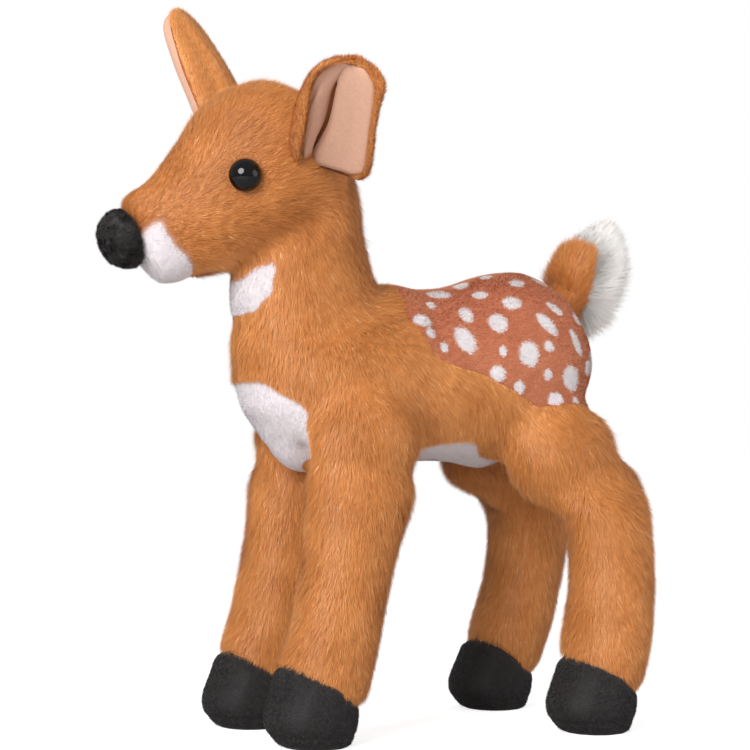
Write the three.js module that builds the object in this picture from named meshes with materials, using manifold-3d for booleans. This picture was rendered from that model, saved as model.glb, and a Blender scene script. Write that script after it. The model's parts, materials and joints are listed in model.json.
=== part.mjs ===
// Standing plush fawn, in millimetres. It faces -Y, +X is its left side, and it stands on Z = 0.
import * as THREE from 'three';
import { mergeVertices } from 'three/addons/utils/BufferGeometryUtils.js';
import Module from 'manifold-3d';

const wasm = await Module();
wasm.setup();

// Clearances between sewn pieces and at the flexing seams
const seamGap = 0.3;
const flexGap = 0.6;
const overrun = 300;

// Cloth with its pile, pressed to the thickness that it has on the toy
const furThick = 5;
const saddleThick = 3;
const whiteThick = 4;
const bootThick = 3;
const soleThick = 3;

// Trunk
const trunkLength = 157;
const trunkWidth = 75;
const trunkHeight = 80;
const trunkMiddleY = 1.5;
const trunkMiddleZ = 146;

// Neck
const neckLength = 124;
const neckWidth = 48;
const neckDepth = 58;
const neckMiddleY = -50.5;
const neckRootZ = 116;

// The seam where the head turns on the neck
const turnPivotY = -51.5;
const turnPivotZ = 203;
const turnTiltDeg = 27.8;

// Head, along its own axis from the nape to the muzzle
const headLength = 101;
const headWidth = 65;
const headHeight = 69;
const headMiddleY = -65;
const headMiddleZ = 226.5;
const headTiltDeg = 24;

// Nose pouch
const noseWidth = 23;
const noseLength = 21;
const noseHeight = 24;

// Safety eyes and their washers
const eyeDiameter = 12;
const eyeDome = 5;
const eyeForward = 21.3;
const eyeRise = 3;
const eyeSink = 1.5;
const shankDiameter = 4;
const shankLength = 12;
const washerDiameter = 13;
const washerThick = 1.6;

// Ears
const earLength = 59;
const earWidth = 30;
const earBackThick = 4;
const earLiningThick = 1.8;
const earRim = 4;
const earRootRadius = 3.4;
const earFoldRangeDeg = 15;

// Legs: the ball on which each turns, its middle and its two half sizes, then the leg below it.
// reach is how far the leg goes forward or back of its ball, and spread how far out its hoof stands.
const frontLeg = {
	ballX: 27, ballY: -33, ballZ: 122, ballRadius: 25.5, ballHalf: 18.5,
	width: 35, depth: 38, reach: -27, spread: 32.8
};
const hindLeg = {
	ballX: 25, ballY: 55, ballZ: 113, ballRadius: 25.5, ballHalf: 18,
	width: 36, depth: 38, reach: 19, spread: 42.8
};
const legRangeDeg = 12;

// Hooves
const hoofLength = 38;
const hoofWidth = 36;
const hoofTopZ = 23;
const hoofTopTiltDeg = 18;

// Tail
const tailLength = 49;
const tailWidth = 29;
const tailDepth = 28;
const tailRootY = 69;
const tailRootZ = 171;
const tailLeanDeg = 33;
const tailRootRadius = 9.5;
const tailRangeDeg = 15;

const deg = THREE.MathUtils.degToRad;
const xAxis = new THREE.Vector3(1, 0, 0);
const vec = (x, y, z) => new THREE.Vector3(x, y, z);

// Closed meshes and solids

function closedGeometry(points, triangles) {
	const geometry = new THREE.BufferGeometry();
	const values = points.flatMap((p) => p.toArray());
	geometry.setAttribute('position', new THREE.Float32BufferAttribute(values, 3));
	let volume = 0;
	for (const [a, b, c] of triangles) volume += points[a].dot(vec().crossVectors(points[b], points[c]));
	geometry.setIndex(triangles.flatMap(([a, b, c]) => (volume > 0 ? [a, b, c] : [a, c, b])));
	return geometry;
}

function solidOf(geometry) {
	const bare = geometry.clone();
	bare.deleteAttribute('normal');
	bare.deleteAttribute('uv');
	const merged = mergeVertices(bare, 1e-4);
	const vertProperties = new Float32Array(merged.attributes.position.array);
	return new wasm.Manifold(new wasm.Mesh({
		numProp: 3, vertProperties, triVerts: new Uint32Array(merged.index.array)
	}));
}

function geometryOf(solid) {
	const mesh = solid.getMesh();
	const geometry = new THREE.BufferGeometry();
	geometry.setAttribute('position', new THREE.Float32BufferAttribute(mesh.vertProperties, 3));
	geometry.setIndex(Array.from(mesh.triVerts));
	return geometry;
}

function union(solids) {
	return solids.reduce((sum, next) => sum.add(next));
}

// A loft through rings of points, closed at both ends by a pole
function loft(rings, firstPole, lastPole) {
	const sides = rings[0].length;
	const points = [firstPole, ...rings.flat(), lastPole];
	const last = points.length - 1;
	const at = (ring, side) => 1 + ring * sides + (side % sides);
	const triangles = [];
	for (let side = 0; side < sides; side++) {
		triangles.push([0, at(0, side + 1), at(0, side)]);
		for (let ring = 0; ring < rings.length - 1; ring++) {
			triangles.push([at(ring, side), at(ring, side + 1), at(ring + 1, side + 1)]);
			triangles.push([at(ring, side), at(ring + 1, side + 1), at(ring + 1, side)]);
		}
		triangles.push([last, at(rings.length - 1, side), at(rings.length - 1, side + 1)]);
	}
	return closedGeometry(points, triangles);
}

// An oval ring whose upper and lower halves may differ in height
function oval(centre, across, up, halfWidth, above, below, sides) {
	return Array.from({ length: sides }, (_, side) => {
		const angle = 2 * Math.PI * side / sides;
		const rise = Math.sin(angle) * (Math.sin(angle) > 0 ? above : below);
		return centre.clone().addScaledVector(across, Math.cos(angle) * halfWidth).addScaledVector(up, rise);
	});
}

// The same form with its surface moved out along its normals, or in where the distance is negative
function grown(form, distance) {
	const moved = form.clone();
	moved.computeVertexNormals();
	const { position, normal } = moved.attributes;
	for (let i = 0; i < position.count; i++) {
		position.setXYZ(i, position.getX(i) + distance * normal.getX(i),
			position.getY(i) + distance * normal.getY(i), position.getZ(i) + distance * normal.getZ(i));
	}
	return moved;
}

const grownSolid = (form, distance) => solidOf(grown(form, distance));

function turned(geometry, pivot, axis, angleDeg) {
	return geometry.clone().translate(-pivot.x, -pivot.y, -pivot.z)
		.applyMatrix4(new THREE.Matrix4().makeRotationAxis(axis, deg(angleDeg)))
		.translate(pivot.x, pivot.y, pivot.z);
}

// The space that a form sweeps through as it turns through plus and minus a range
function swept(form, pivot, axis, rangeDeg, steps) {
	const copies = [];
	for (let step = -steps; step <= steps; step++) {
		copies.push(solidOf(turned(form, pivot, axis, rangeDeg * step / steps)));
	}
	return union(copies);
}

// A block with its faces square to a direction, lying wholly on that side of a point
function halfSpace(point, direction) {
	const box = new THREE.BoxGeometry(2 * overrun, 2 * overrun, overrun).translate(0, 0, overrun / 2);
	const towards = direction.clone().normalize();
	box.applyQuaternion(new THREE.Quaternion().setFromUnitVectors(vec(0, 0, 1), towards));
	return solidOf(box.translate(point.x, point.y, point.z));
}

// An outline in the YZ plane carried across the whole width of the toy
function acrossPrism(outline) {
	const shape = new THREE.Shape(outline.map(([y, z]) => new THREE.Vector2(y, z)));
	const prism = new THREE.ExtrudeGeometry(shape, { depth: 2 * overrun, bevelEnabled: false });
	prism.translate(0, 0, -overrun);
	prism.applyMatrix4(new THREE.Matrix4().makeBasis(vec(0, 1, 0), vec(0, 0, 1), xAxis));
	return solidOf(prism);
}

const capBands = 3;

// A capsule of revolution about an axis
function capsule(centre, axis, radius, halfLength, sides) {
	const geometry = new THREE.CapsuleGeometry(radius, 2 * halfLength, capBands, sides);
	geometry.applyQuaternion(new THREE.Quaternion().setFromUnitVectors(vec(0, 1, 0), axis));
	return geometry.translate(centre.x, centre.y, centre.z);
}

// An ellipsoid of revolution about X: the round end on which a leg turns
function ballForm(leg, side, sides) {
	const ball = new THREE.SphereGeometry(1, sides, ballBands);
	ball.rotateZ(Math.PI / 2);
	ball.scale(leg.ballHalf, leg.ballRadius, leg.ballRadius);
	ball.deleteAttribute('normal');
	ball.deleteAttribute('uv');
	return mergeVertices(ball.translate(side * leg.ballX, leg.ballY, leg.ballZ), 1e-4);
}

// Sides of each form's rings: outer surface, and the plainer inner surface and filling
const sidesOf = {
	trunk: [18, 12], neck: [16, 10], head: [18, 12], leg: [12, 8], ball: [16, 10]
};
const ballBands = 6;

// The row of a table at a place along it, between the rows on either side, which may lie past its ends
function rowAt(rows, along) {
	const found = rows.findIndex(([place]) => place >= along);
	const next = Math.max(1, found < 0 ? rows.length - 1 : found);
	const [before, after] = [rows[next - 1], rows[next]];
	const blend = THREE.MathUtils.clamp((along - before[0]) / (after[0] - before[0]), 0, 1);
	return before.map((value, i) => THREE.MathUtils.lerp(value, after[i], blend));
}

// The point of an open outline at a place counted in its points
function sectionAt(points, place) {
	const from = THREE.MathUtils.clamp(Math.floor(place), 0, points.length - 2);
	return [0, 1].map((i) => THREE.MathUtils.lerp(points[from][i], points[from + 1][i], place - from));
}

// Trunk and neck forms

// Rows: along the trunk, half width, height above and depth below the middle, and lift of the middle
const trunkShares = [
	[-0.955, 0.32, 0.30, 0.42, -0.02], [-0.885, 0.60, 0.50, 0.66, -0.02], [-0.76, 0.82, 0.66, 0.85, 0],
	[-0.57, 0.95, 0.76, 0.95, 0], [-0.31, 1.0, 0.84, 0.98, 0], [-0.06, 0.97, 0.89, 0.98, 0],
	[0.18, 0.97, 0.94, 0.99, 0], [0.42, 1.0, 1.05, 0.97, 0.02], [0.61, 0.99, 1.05, 0.92, 0.05],
	[0.77, 0.91, 0.92, 0.82, 0.08], [0.89, 0.74, 0.72, 0.64, 0.10], [0.965, 0.46, 0.42, 0.38, 0.12]
];

function trunkForm(sides) {
	const half = { length: trunkLength / 2, width: trunkWidth / 2, height: trunkHeight / 2 };
	const centreAt = (along, lift) => vec(0, trunkMiddleY + along * half.length,
		trunkMiddleZ + lift * half.height);
	const rings = trunkShares.map(([along, width, above, below, lift]) => oval(centreAt(along, lift),
		xAxis, vec(0, 0, 1), width * half.width, above * half.height, below * half.height, sides));
	const noseShare = trunkShares[0][4];
	const rumpShare = trunkShares[trunkShares.length - 1][4];
	return loft(rings, centreAt(-1, noseShare), centreAt(1, rumpShare));
}

// Rows: along the neck from its root, shift back, half width and half depth
const neckShares = [
	[0.03, 0.10, 0.75, 0.62], [0.10, 0.12, 1.15, 0.98], [0.22, 0.17, 1.24, 1.15], [0.36, 0.17, 1.14, 1.19],
	[0.46, 0.14, 1.05, 1.15], [0.52, 0.055, 1.0, 1.06], [0.59, 0.01, 0.97, 1.01], [0.70, -0.015, 0.96, 0.98],
	[0.80, -0.03, 0.98, 0.98], [0.90, -0.05, 0.92, 0.90], [0.97, -0.08, 0.66, 0.62]
];

function neckForm(sides) {
	const centreAt = (along, shift) => vec(0, neckMiddleY + shift * neckDepth / 2,
		neckRootZ + along * neckLength);
	const rings = neckShares.map(([along, shift, width, depth]) => oval(centreAt(along, shift), xAxis,
		vec(0, 1, 0), width * neckWidth / 2, depth * neckDepth / 2, depth * neckDepth / 2, sides));
	return loft(rings, centreAt(0, neckShares[0][1]), centreAt(1, neckShares[neckShares.length - 1][1]));
}

// Head form, along its tilted axis
const headMiddle = vec(0, headMiddleY, headMiddleZ);
const headForward = vec(0, -Math.cos(deg(headTiltDeg)), -Math.sin(deg(headTiltDeg)));
const headUp = vec(0, -Math.sin(deg(headTiltDeg)), Math.cos(deg(headTiltDeg)));
const onHead = (forward, up) => headMiddle.clone().addScaledVector(headForward, forward)
	.addScaledVector(headUp, up);

// Rows: along the head from its middle, half width, top and bottom
const headShares = [
	[-0.325, 0.42, 0.36, -0.50], [-0.235, 0.76, 0.74, -0.74], [-0.10, 0.96, 1.0, -0.90],
	[0.05, 1.0, 1.03, -0.94], [0.17, 0.95, 0.88, -0.90], [0.27, 0.83, 0.71, -0.88], [0.37, 0.68, 0.57, -0.86],
	[0.475, 0.55, 0.46, -0.85], [0.56, 0.46, 0.38, -0.83], [0.625, 0.36, 0.22, -0.74]
];
const headPoleShares = [-0.36, 0.65];

function headForm(sides) {
	const rings = headShares.map(([along, width, top, bottom]) => {
		const middle = (top + bottom) / 2 * headHeight / 2;
		const reach = (top - bottom) / 2 * headHeight / 2;
		return oval(onHead(along * headLength, middle), xAxis, headUp, width * headWidth / 2,
			reach, reach, sides);
	});
	const [first, last] = [headShares[0], headShares[headShares.length - 1]];
	const poleAt = (row, along) => onHead(along * headLength, (row[2] + row[3]) / 2 * headHeight / 2);
	return loft(rings, poleAt(first, headPoleShares[0]), poleAt(last, headPoleShares[1]));
}

// Turning seam between neck and head
const turnPivot = vec(0, turnPivotY, turnPivotZ);
const turnAxis = vec(0, -Math.sin(deg(turnTiltDeg)), Math.cos(deg(turnTiltDeg)));
const aboveTurn = (gap) => halfSpace(turnPivot.clone().addScaledVector(turnAxis, gap / 2), turnAxis);
const belowTurn = (gap) => halfSpace(turnPivot.clone().addScaledVector(turnAxis, -gap / 2),
	turnAxis.clone().negate());

const [trunk, trunkCore] = sidesOf.trunk.map(trunkForm);
const [neck, neckCore] = sidesOf.neck.map(neckForm);
const [head, headCore] = sidesOf.head.map(headForm);

// Pieces by name, each with its solid and its material
const pieces = [];
const add = (name, solid, material) => pieces.push({ name, solid, material });

const left = 1;
const right = -1;
const sideName = (side) => (side === left ? 'left' : 'right');
const sideSpace = (side, gap) => halfSpace(vec(side * gap / 2, 0, 0), vec(side, 0, 0));

// Legs and hooves

// Rows: down the leg from its ball to the floor, share of the reach, of the spread, width and depth
const frontLegShares = [
	[0.01, 0, 0, 0.82, 0.98], [0.09, 0.06, 0, 0.92, 1.16], [0.20, 0.14, 0.25, 1.05, 1.19],
	[0.31, 0.24, 0.45, 1.02, 1.10], [0.42, 0.35, 0.62, 0.99, 1.02], [0.63, 0.55, 0.85, 0.94, 0.94],
	[0.79, 0.70, 0.97, 0.94, 0.92], [0.90, 0.80, 1.0, 0.90, 0.88]
];
const hindLegShares = [
	[0.01, 0.22, 0, 0.80, 1.14], [0.09, 0.48, 0.04, 0.92, 1.33], [0.17, 0.74, 0.26, 1.08, 1.19],
	[0.25, 0.98, 0.40, 1.03, 1.05], [0.34, 1.05, 0.52, 0.99, 0.99], [0.47, 1.02, 0.68, 0.96, 0.94],
	[0.60, 0.88, 0.82, 0.94, 0.93], [0.74, 0.70, 0.94, 0.94, 0.92], [0.89, 0.48, 1.0, 0.90, 0.86]
];
// Rows: height as a share of the top, shift back, width and length
const hoofShares = [
	[0, 0.04, 0.90, 0.90], [0.09, 0.01, 0.98, 0.98], [0.30, 0.01, 1.0, 0.99], [0.62, 0.06, 0.99, 0.95],
	[0.95, 0.17, 0.97, 0.88], [1.30, 0.30, 0.95, 0.84], [1.70, 0.38, 0.93, 0.84]
];
const hoofReachShare = { front: 0.99, hind: 0.27 };
const legPoleShares = [-0.07, 0.95];
const hoofPoleShare = 1.8;
const hoofSides = 12;
// Mouth of the sleeve as a share of the ball, and how far back of its middle a hoof's top seam tilts
const mouthShare = 0.55;
const mouthSides = 8;
const hoofTopShare = 0.14;
const arcShares = [0, 0.25, 0.5, 0.75, 1];

function legForm(leg, rows, side, sides) {
	const centreAt = ([along, reach, spread]) => vec(side * (leg.ballX + spread * (leg.spread - leg.ballX)),
		leg.ballY + reach * leg.reach, leg.ballZ * (1 - along));
	const rings = rows.map((row) => oval(centreAt(row), vec(side, 0, 0), vec(0, 1, 0),
		row[3] * leg.width / 2, row[4] * leg.depth / 2, row[4] * leg.depth / 2, sides));
	const [first, last] = [rows[0], rows[rows.length - 1]];
	const [top, bottom] = legPoleShares;
	return loft(rings, centreAt([top, first[1], first[2]]), centreAt([bottom, last[1], last[2]]));
}

function hoofForm(leg, reachShare, side) {
	const middleY = leg.ballY + reachShare * leg.reach;
	const centreAt = (height, shift) => vec(side * leg.spread, middleY + shift * hoofLength / 2,
		height * hoofTopZ);
	const rings = hoofShares.map(([height, shift, width, length]) => oval(centreAt(height, shift), xAxis,
		vec(0, 1, 0), width * hoofWidth / 2, length * hoofLength / 2, length * hoofLength / 2, hoofSides));
	const last = hoofShares[hoofShares.length - 1];
	return loft(rings, centreAt(0, hoofShares[0][1]), centreAt(hoofPoleShare, last[1]));
}

// The corners of a form's triangles and the middles of their edges
function pointsOn(form) {
	const { position } = form.attributes;
	const corners = Array.from(form.index.array, (i) => vec().fromBufferAttribute(position, i));
	return corners.flatMap((corner, i) => [corner,
		corner.clone().lerp(corners[i % 3 === 2 ? i - 2 : i + 1], 1 / 2)]);
}

// The sector beside and below the ball through which the leg swings, at least a gap wider than the leg
function swingSpace(leg, limb, side) {
	let [from, to, inner] = [0, 0, overrun];
	for (const { x, y, z } of pointsOn(limb)) {
		const [across, along, drop] = [side * x, y - leg.ballY, leg.ballZ - z];
		const place = Math.hypot((across - leg.ballX) / leg.ballHalf, Math.hypot(along, drop) / leg.ballRadius);
		if (place < 1) continue;
		from = Math.min(from, Math.atan2(along, drop));
		to = Math.max(to, Math.atan2(along, drop));
		inner = Math.min(inner, across);
	}
	const spare = deg(legRangeDeg) + Math.asin(flexGap / leg.ballRadius);
	const arc = arcShares.map((share) => THREE.MathUtils.lerp(from - spare, to + spare, share));
	const outline = [[leg.ballY, leg.ballZ], ...arc.map((angle) => [
		leg.ballY + overrun * Math.sin(angle), leg.ballZ - overrun * Math.cos(angle)])];
	return acrossPrism(outline).intersect(halfSpace(vec(side * (inner - flexGap), 0, 0), vec(side, 0, 0)));
}

const floorPoint = (height) => vec(0, 0, height);
const down = vec(0, 0, -1);
const upward = vec(0, 0, 1);

function makeLeg(end, leg, rows, side) {
	const [ball, ballCore] = sidesOf.ball.map((sides) => ballForm(leg, side, sides));
	const [limb, limbCore] = sidesOf.leg.map((sides) => legForm(leg, rows, side, sides));
	const hoof = hoofForm(leg, hoofReachShare[end], side);
	const topPoint = vec(0, leg.ballY + hoofReachShare[end] * leg.reach + hoofLength * hoofTopShare, hoofTopZ);
	const topNormal = vec(0, Math.sin(deg(hoofTopTiltDeg)), Math.cos(deg(hoofTopTiltDeg)));
	const aboveHoof = halfSpace(topPoint.clone().addScaledVector(topNormal, seamGap / 2), topNormal);
	const belowTop = halfSpace(topPoint.clone().addScaledVector(topNormal, -seamGap / 2),
		topNormal.clone().negate());
	const outside = union([ball, limb].map((form) => grownSolid(form, 0)));
	const within = (depth) => union([ballCore, limbCore].map((form) => grownSolid(form, -depth)));

	// The sleeve is open where the filling of the leg meets that of the trunk
	const mouth = (gap) => {
		const radius = leg.ballRadius * mouthShare - gap;
		const round = new THREE.CylinderGeometry(radius, radius, leg.ballX, mouthSides).rotateZ(Math.PI / 2);
		return solidOf(round.translate(side * leg.ballX / 2, leg.ballY, leg.ballZ));
	};

	const sleeve = outside.subtract(within(furThick)).subtract(mouth(0)).intersect(aboveHoof);
	// The filling keeps inside the sleeve above the boot's seam and inside the boot below it
	const [legRoom, bootRoom] = [within(furThick + seamGap), grownSolid(hoof, -(bootThick + seamGap))];
	const filling = union([legRoom.intersect(aboveHoof), legRoom.intersect(bootRoom),
		bootRoom.intersect(belowTop), mouth(seamGap).intersect(outside)])
		.intersect(halfSpace(floorPoint(soleThick + seamGap), upward));
	const boot = grownSolid(hoof, 0).subtract(grownSolid(hoof, -bootThick)).intersect(belowTop)
		.intersect(halfSpace(floorPoint(soleThick + seamGap), upward));
	const sole = grownSolid(hoof, 0).intersect(halfSpace(floorPoint(soleThick), down));
	const name = `${end}_${sideName(side)}`;
	add(`leg_${name}`, sleeve, 'fur');
	add(`leg_stuffing_${name}`, filling, 'filling');
	add(`hoof_${name}`, boot, 'black');
	add(`sole_${name}`, sole, 'black');
	return grownSolid(ball, flexGap).add(swingSpace(leg, limb, side));
}

const legPockets = union([left, right].flatMap((side) => [
	makeLeg('front', frontLeg, frontLegShares, side), makeLeg('hind', hindLeg, hindLegShares, side)
]));

// Trunk panels

const trunkPoint = (along, rise) => [trunkMiddleY + along * trunkLength / 2,
	trunkMiddleZ + rise * trunkHeight / 2];

// Seam of the saddle in side view: front edge, lower edge and rump
const saddleShares = [
	[-0.08, 1.6], [-0.095, 0.60], [-0.115, 0.28], [-0.05, 0.13], [0.02, 0.06], [0.21, -0.07],
	[0.33, -0.19], [0.52, -0.385], [0.71, -0.41], [0.87, -0.37], [1.3, -0.30], [1.3, 1.6]
];
// Chest patch seen from the front, half widths and heights
const chestShares = [[0.40, -0.06], [0.76, -0.34], [0.80, -0.65], [0.70, -1.3]];
// Belly strip seen from below, from the chest to the rump, half widths
const bellyShares = [
	[-1.1, 0.70], [-0.60, 0.68], [-0.35, 0.56], [-0.10, 0.60], [0.08, 0.68], [0.30, 0.62], [0.50, 0.48],
	[0.66, 0.62], [1.1, 0.62]
];
// Height below the trunk's middle at which the belly strip ends on the rump
const bellyTopShare = 0.15;
// Throat patch seen from the front, half widths of the neck and heights along it
const throatShares = [[0.68, 0.75], [0.70, 0.49], [0.42, 0.425], [0, 0.41]];

// An outline with every edge moved out by a distance
function widened(outline, distance) {
	const count = outline.length;
	const area = outline.reduce((sum, [x, y], i) => {
		const [nextX, nextY] = outline[(i + 1) % count];
		return sum + x * nextY - nextX * y;
	}, 0);
	const outward = outline.map(([x, y], i) => {
		const [nextX, nextY] = outline[(i + 1) % count];
		return new THREE.Vector2(nextY - y, x - nextX).normalize().multiplyScalar(Math.sign(area));
	});
	return outline.map(([x, y], i) => {
		const before = outward[(i + count - 1) % count];
		const bisector = before.clone().add(outward[i]);
		bisector.multiplyScalar(2 * distance / bisector.lengthSq());
		return [x + bisector.x, y + bisector.y];
	});
}

// A closed outline made of a run of half widths and its mirror image
const mirrored = (half) => [...half, ...half.slice().reverse().filter(([x]) => x !== 0)
	.map(([x, y]) => [-x, y])];

// An outline carried along Y between two places
function prismAlongY(outline, fromY, toY) {
	const shape = new THREE.Shape(outline.map(([x, z]) => new THREE.Vector2(x, z)));
	const prism = new THREE.ExtrudeGeometry(shape, { depth: toY - fromY, bevelEnabled: false });
	prism.applyMatrix4(new THREE.Matrix4().makeBasis(xAxis, upward, vec(0, -1, 0)));
	return solidOf(prism.translate(0, toY, 0));
}

// An outline of half widths along Y carried down from a height
function prismBelow(outline, topZ) {
	const shape = new THREE.Shape(outline.map(([x, y]) => new THREE.Vector2(x, y)));
	const prism = new THREE.ExtrudeGeometry(shape, { depth: overrun, bevelEnabled: false });
	return solidOf(prism.translate(0, 0, topZ - overrun));
}

const saddleSpace = (gap) => acrossPrism(widened(saddleShares.map((row) => trunkPoint(...row)), gap / 2));

function bellySpace(gap) {
	const chest = mirrored(chestShares.map(([width, rise]) => [width * trunkWidth / 2,
		trunkMiddleZ + rise * trunkHeight / 2]));
	const belly = mirrored(bellyShares.map(([along, width]) => [width * trunkWidth / 2,
		trunkMiddleY + along * trunkLength / 2]));
	return prismAlongY(widened(chest, gap / 2), -overrun, frontLeg.ballY)
		.add(prismBelow(widened(belly, gap / 2), trunkMiddleZ - trunkHeight * bellyTopShare));
}

function throatSpace(gap) {
	const half = throatShares.map(([width, along]) => [width * neckWidth / 2,
		neckRootZ + along * neckLength]);
	return prismAlongY(widened(mirrored(half), gap / 2), -overrun, neckMiddleY);
}

const tailRoot = vec(0, tailRootY, tailRootZ);
const tailRootSides = 14;
const tailSocket = capsule(tailRoot, xAxis, tailRootRadius + flexGap, seamGap, tailRootSides);

const bodyOutside = (depth) => grownSolid(trunk, -depth).add(grownSolid(neck, -depth));
const bodyWithin = (depth) => grownSolid(trunkCore, -depth).add(grownSolid(neckCore, -depth));
const bodyRoom = belowTurn(seamGap).subtract(legPockets).subtract(solidOf(tailSocket));
const bodyShell = (thick) => bodyOutside(furThick - thick).subtract(bodyWithin(furThick)).intersect(bodyRoom);

const fur = bodyShell(furThick).subtract(saddleSpace(seamGap)).subtract(bellySpace(seamGap))
	.subtract(throatSpace(seamGap));
for (const side of [left, right]) {
	add(`side_panel_${sideName(side)}`, fur.intersect(sideSpace(side, seamGap)), 'fur');
}
add('back_saddle', bodyShell(saddleThick).intersect(saddleSpace(-seamGap)), 'saddle');
add('belly_panel', bodyShell(whiteThick).intersect(bellySpace(-seamGap)).subtract(saddleSpace(seamGap)),
	'white');
add('throat_patch', bodyShell(whiteThick).intersect(throatSpace(-seamGap)), 'white');
add('body_stuffing', bodyWithin(furThick + seamGap).intersect(bodyRoom), 'filling');

// Head panels

// How wide and how tall the head is at a place along its axis
function headAt(forward) {
	const [, width, top, bottom] = rowAt(headShares, forward / headLength);
	return { half: width * headWidth / 2, top: top * headHeight / 2, bottom: bottom * headHeight / 2 };
}

// The point of the cheek at a place along and up the head, and the direction in which it faces
function cheekPoint(forward, up, side) {
	const { half, top, bottom } = headAt(forward);
	const rise = (up - (top + bottom) / 2) / ((top - bottom) / 2);
	return onHead(forward, up).setX(side * half * Math.sqrt(Math.max(0, 1 - rise * rise)));
}

const stepShare = 0.05;

function cheekNormal(forward, up, side) {
	const here = cheekPoint(forward, up, side);
	const ahead = cheekPoint(forward + headLength * stepShare, up, side).sub(here);
	const above = cheekPoint(forward, up + headHeight * stepShare, side).sub(here);
	return ahead.cross(above).multiplyScalar(-side).normalize();
}

// Back seam of the white muzzle in side view, along and up the head
const muzzleShares = [[0.62, 0.24], [0.50, -0.55], [0.44, -1.3], [0.9, -1.3], [0.9, 0.24]];
// Half widths of the forehead strip along the head, from the nape to the nose
const gussetShares = [
	[-0.40, 0.16], [-0.30, 0.42], [-0.12, 0.62], [0.06, 0.62], [0.22, 0.50], [0.36, 0.32], [0.48, 0.25],
	[0.70, 0.23]
];

function muzzleSpace(gap) {
	const outline = muzzleShares.map(([along, up]) => {
		const point = onHead(along * headLength, up * headHeight / 2);
		return [point.y, point.z];
	});
	return acrossPrism(widened(outline, gap / 2));
}

function gussetSpace(gap) {
	const half = gussetShares.map(([along, width]) => [width * headWidth / 2, along * headLength]);
	const shape = new THREE.Shape(widened(mirrored(half), gap / 2).map(([x, y]) => new THREE.Vector2(x, y)));
	const prism = new THREE.ExtrudeGeometry(shape, { depth: headHeight, bevelEnabled: false });
	prism.applyMatrix4(new THREE.Matrix4().makeBasis(xAxis.clone().negate(), headForward, headUp));
	const base = onHead(0, 0);
	return solidOf(prism.translate(base.x, base.y, base.z));
}

// A safety eye is a turned piece: dome, flange and shank, with its axis along the cheek's normal
function turnedAlong(profile, base, direction, sides) {
	const piece = new THREE.LatheGeometry(profile.map(([radius, rise]) => new THREE.Vector2(radius, rise)), sides);
	piece.applyQuaternion(new THREE.Quaternion().setFromUnitVectors(vec(0, 1, 0), direction));
	return solidOf(piece.translate(base.x, base.y, base.z));
}

const eyeSides = 12;
const domeShares = [1, 0.88, 0.72, 0.5, 0.25];
const washerDepth = furThick + seamGap + washerThick / 2;

function eyeProfile(extra) {
	const radius = eyeDiameter / 2 + extra;
	const shank = shankDiameter / 2 + extra;
	const dome = domeShares.map((share) => share * Math.PI / 2)
		.map((angle) => [radius * Math.sin(angle), (eyeDome + extra) * Math.cos(angle)]);
	return [[0, -shankLength - extra], [shank, -shankLength - extra], [shank, -extra], [radius, -extra],
		...dome, [0, eyeDome + extra]];
}

function washerProfile(extra) {
	const [inner, outer] = [shankDiameter / 2 + seamGap, washerDiameter / 2 + extra];
	const [low, high] = [-washerThick / 2 - extra, washerThick / 2 + extra];
	return extra ? [[0, low], [outer, low], [outer, high], [0, high]]
		: [[inner, low], [outer, low], [outer, high], [inner, high], [inner, low]];
}

const eyes = [left, right].map((side) => {
	const normal = cheekNormal(eyeForward, eyeRise, side);
	const seat = cheekPoint(eyeForward, eyeRise, side).addScaledVector(normal, -eyeSink);
	const washerSeat = seat.clone().addScaledVector(normal, -washerDepth);
	const make = (profile, base) => turnedAlong(profile, base, normal, eyeSides);
	add(`eye_${sideName(side)}`, make(eyeProfile(0), seat), 'eye');
	add(`eye_washer_${sideName(side)}`, make(washerProfile(0), washerSeat), 'washer');
	return make(eyeProfile(seamGap), seat).add(make(washerProfile(seamGap), washerSeat));
});

// Nose pouch, cut to sit on the end of the muzzle
const noseSides = 16;
const noseBands = 10;
const noseForwardShare = 0.655;
const noseDropShare = 0.045;
const noseMiddle = onHead(headLength * noseForwardShare, -headHeight * noseDropShare);
const noseForm = new THREE.SphereGeometry(1, noseSides, noseBands);
noseForm.scale(noseWidth / 2, noseLength / 2, noseHeight / 2);
noseForm.rotateX(deg(headTiltDeg)).translate(noseMiddle.x, noseMiddle.y, noseMiddle.z);
add('nose', solidOf(noseForm).subtract(grownSolid(head, seamGap)), 'nose');

// Ears: a cupped leaf with a fold beside its front edge, from a root sewn into the side of the head.
// Each lies where the photographed toy holds it, the right one pricked forward and the left one out.
const earPoses = {
	[left]: {
		forwardShare: -0.14, upShare: -0.22, along: vec(0.77, -0.21, 0.60), facing: vec(0.36, -0.30, -0.50)
	},
	[right]: {
		forwardShare: -0.04, upShare: 0.40, along: vec(-0.25, -0.23, 0.94), facing: vec(-0.8, -0.52, -0.2)
	}
};
// Rows: along the ear, half width, shift to the rear and depth of the fold
const earShares = [
	[0.02, 0.36, 0.10, 1.0], [0.16, 0.72, 0.14, 0.95], [0.34, 0.96, 0.12, 0.80], [0.54, 1.0, 0.07, 0.62],
	[0.74, 0.92, 0.02, 0.40], [0.89, 0.68, 0, 0.20], [0.97, 0.38, 0, 0.10]
];
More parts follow.
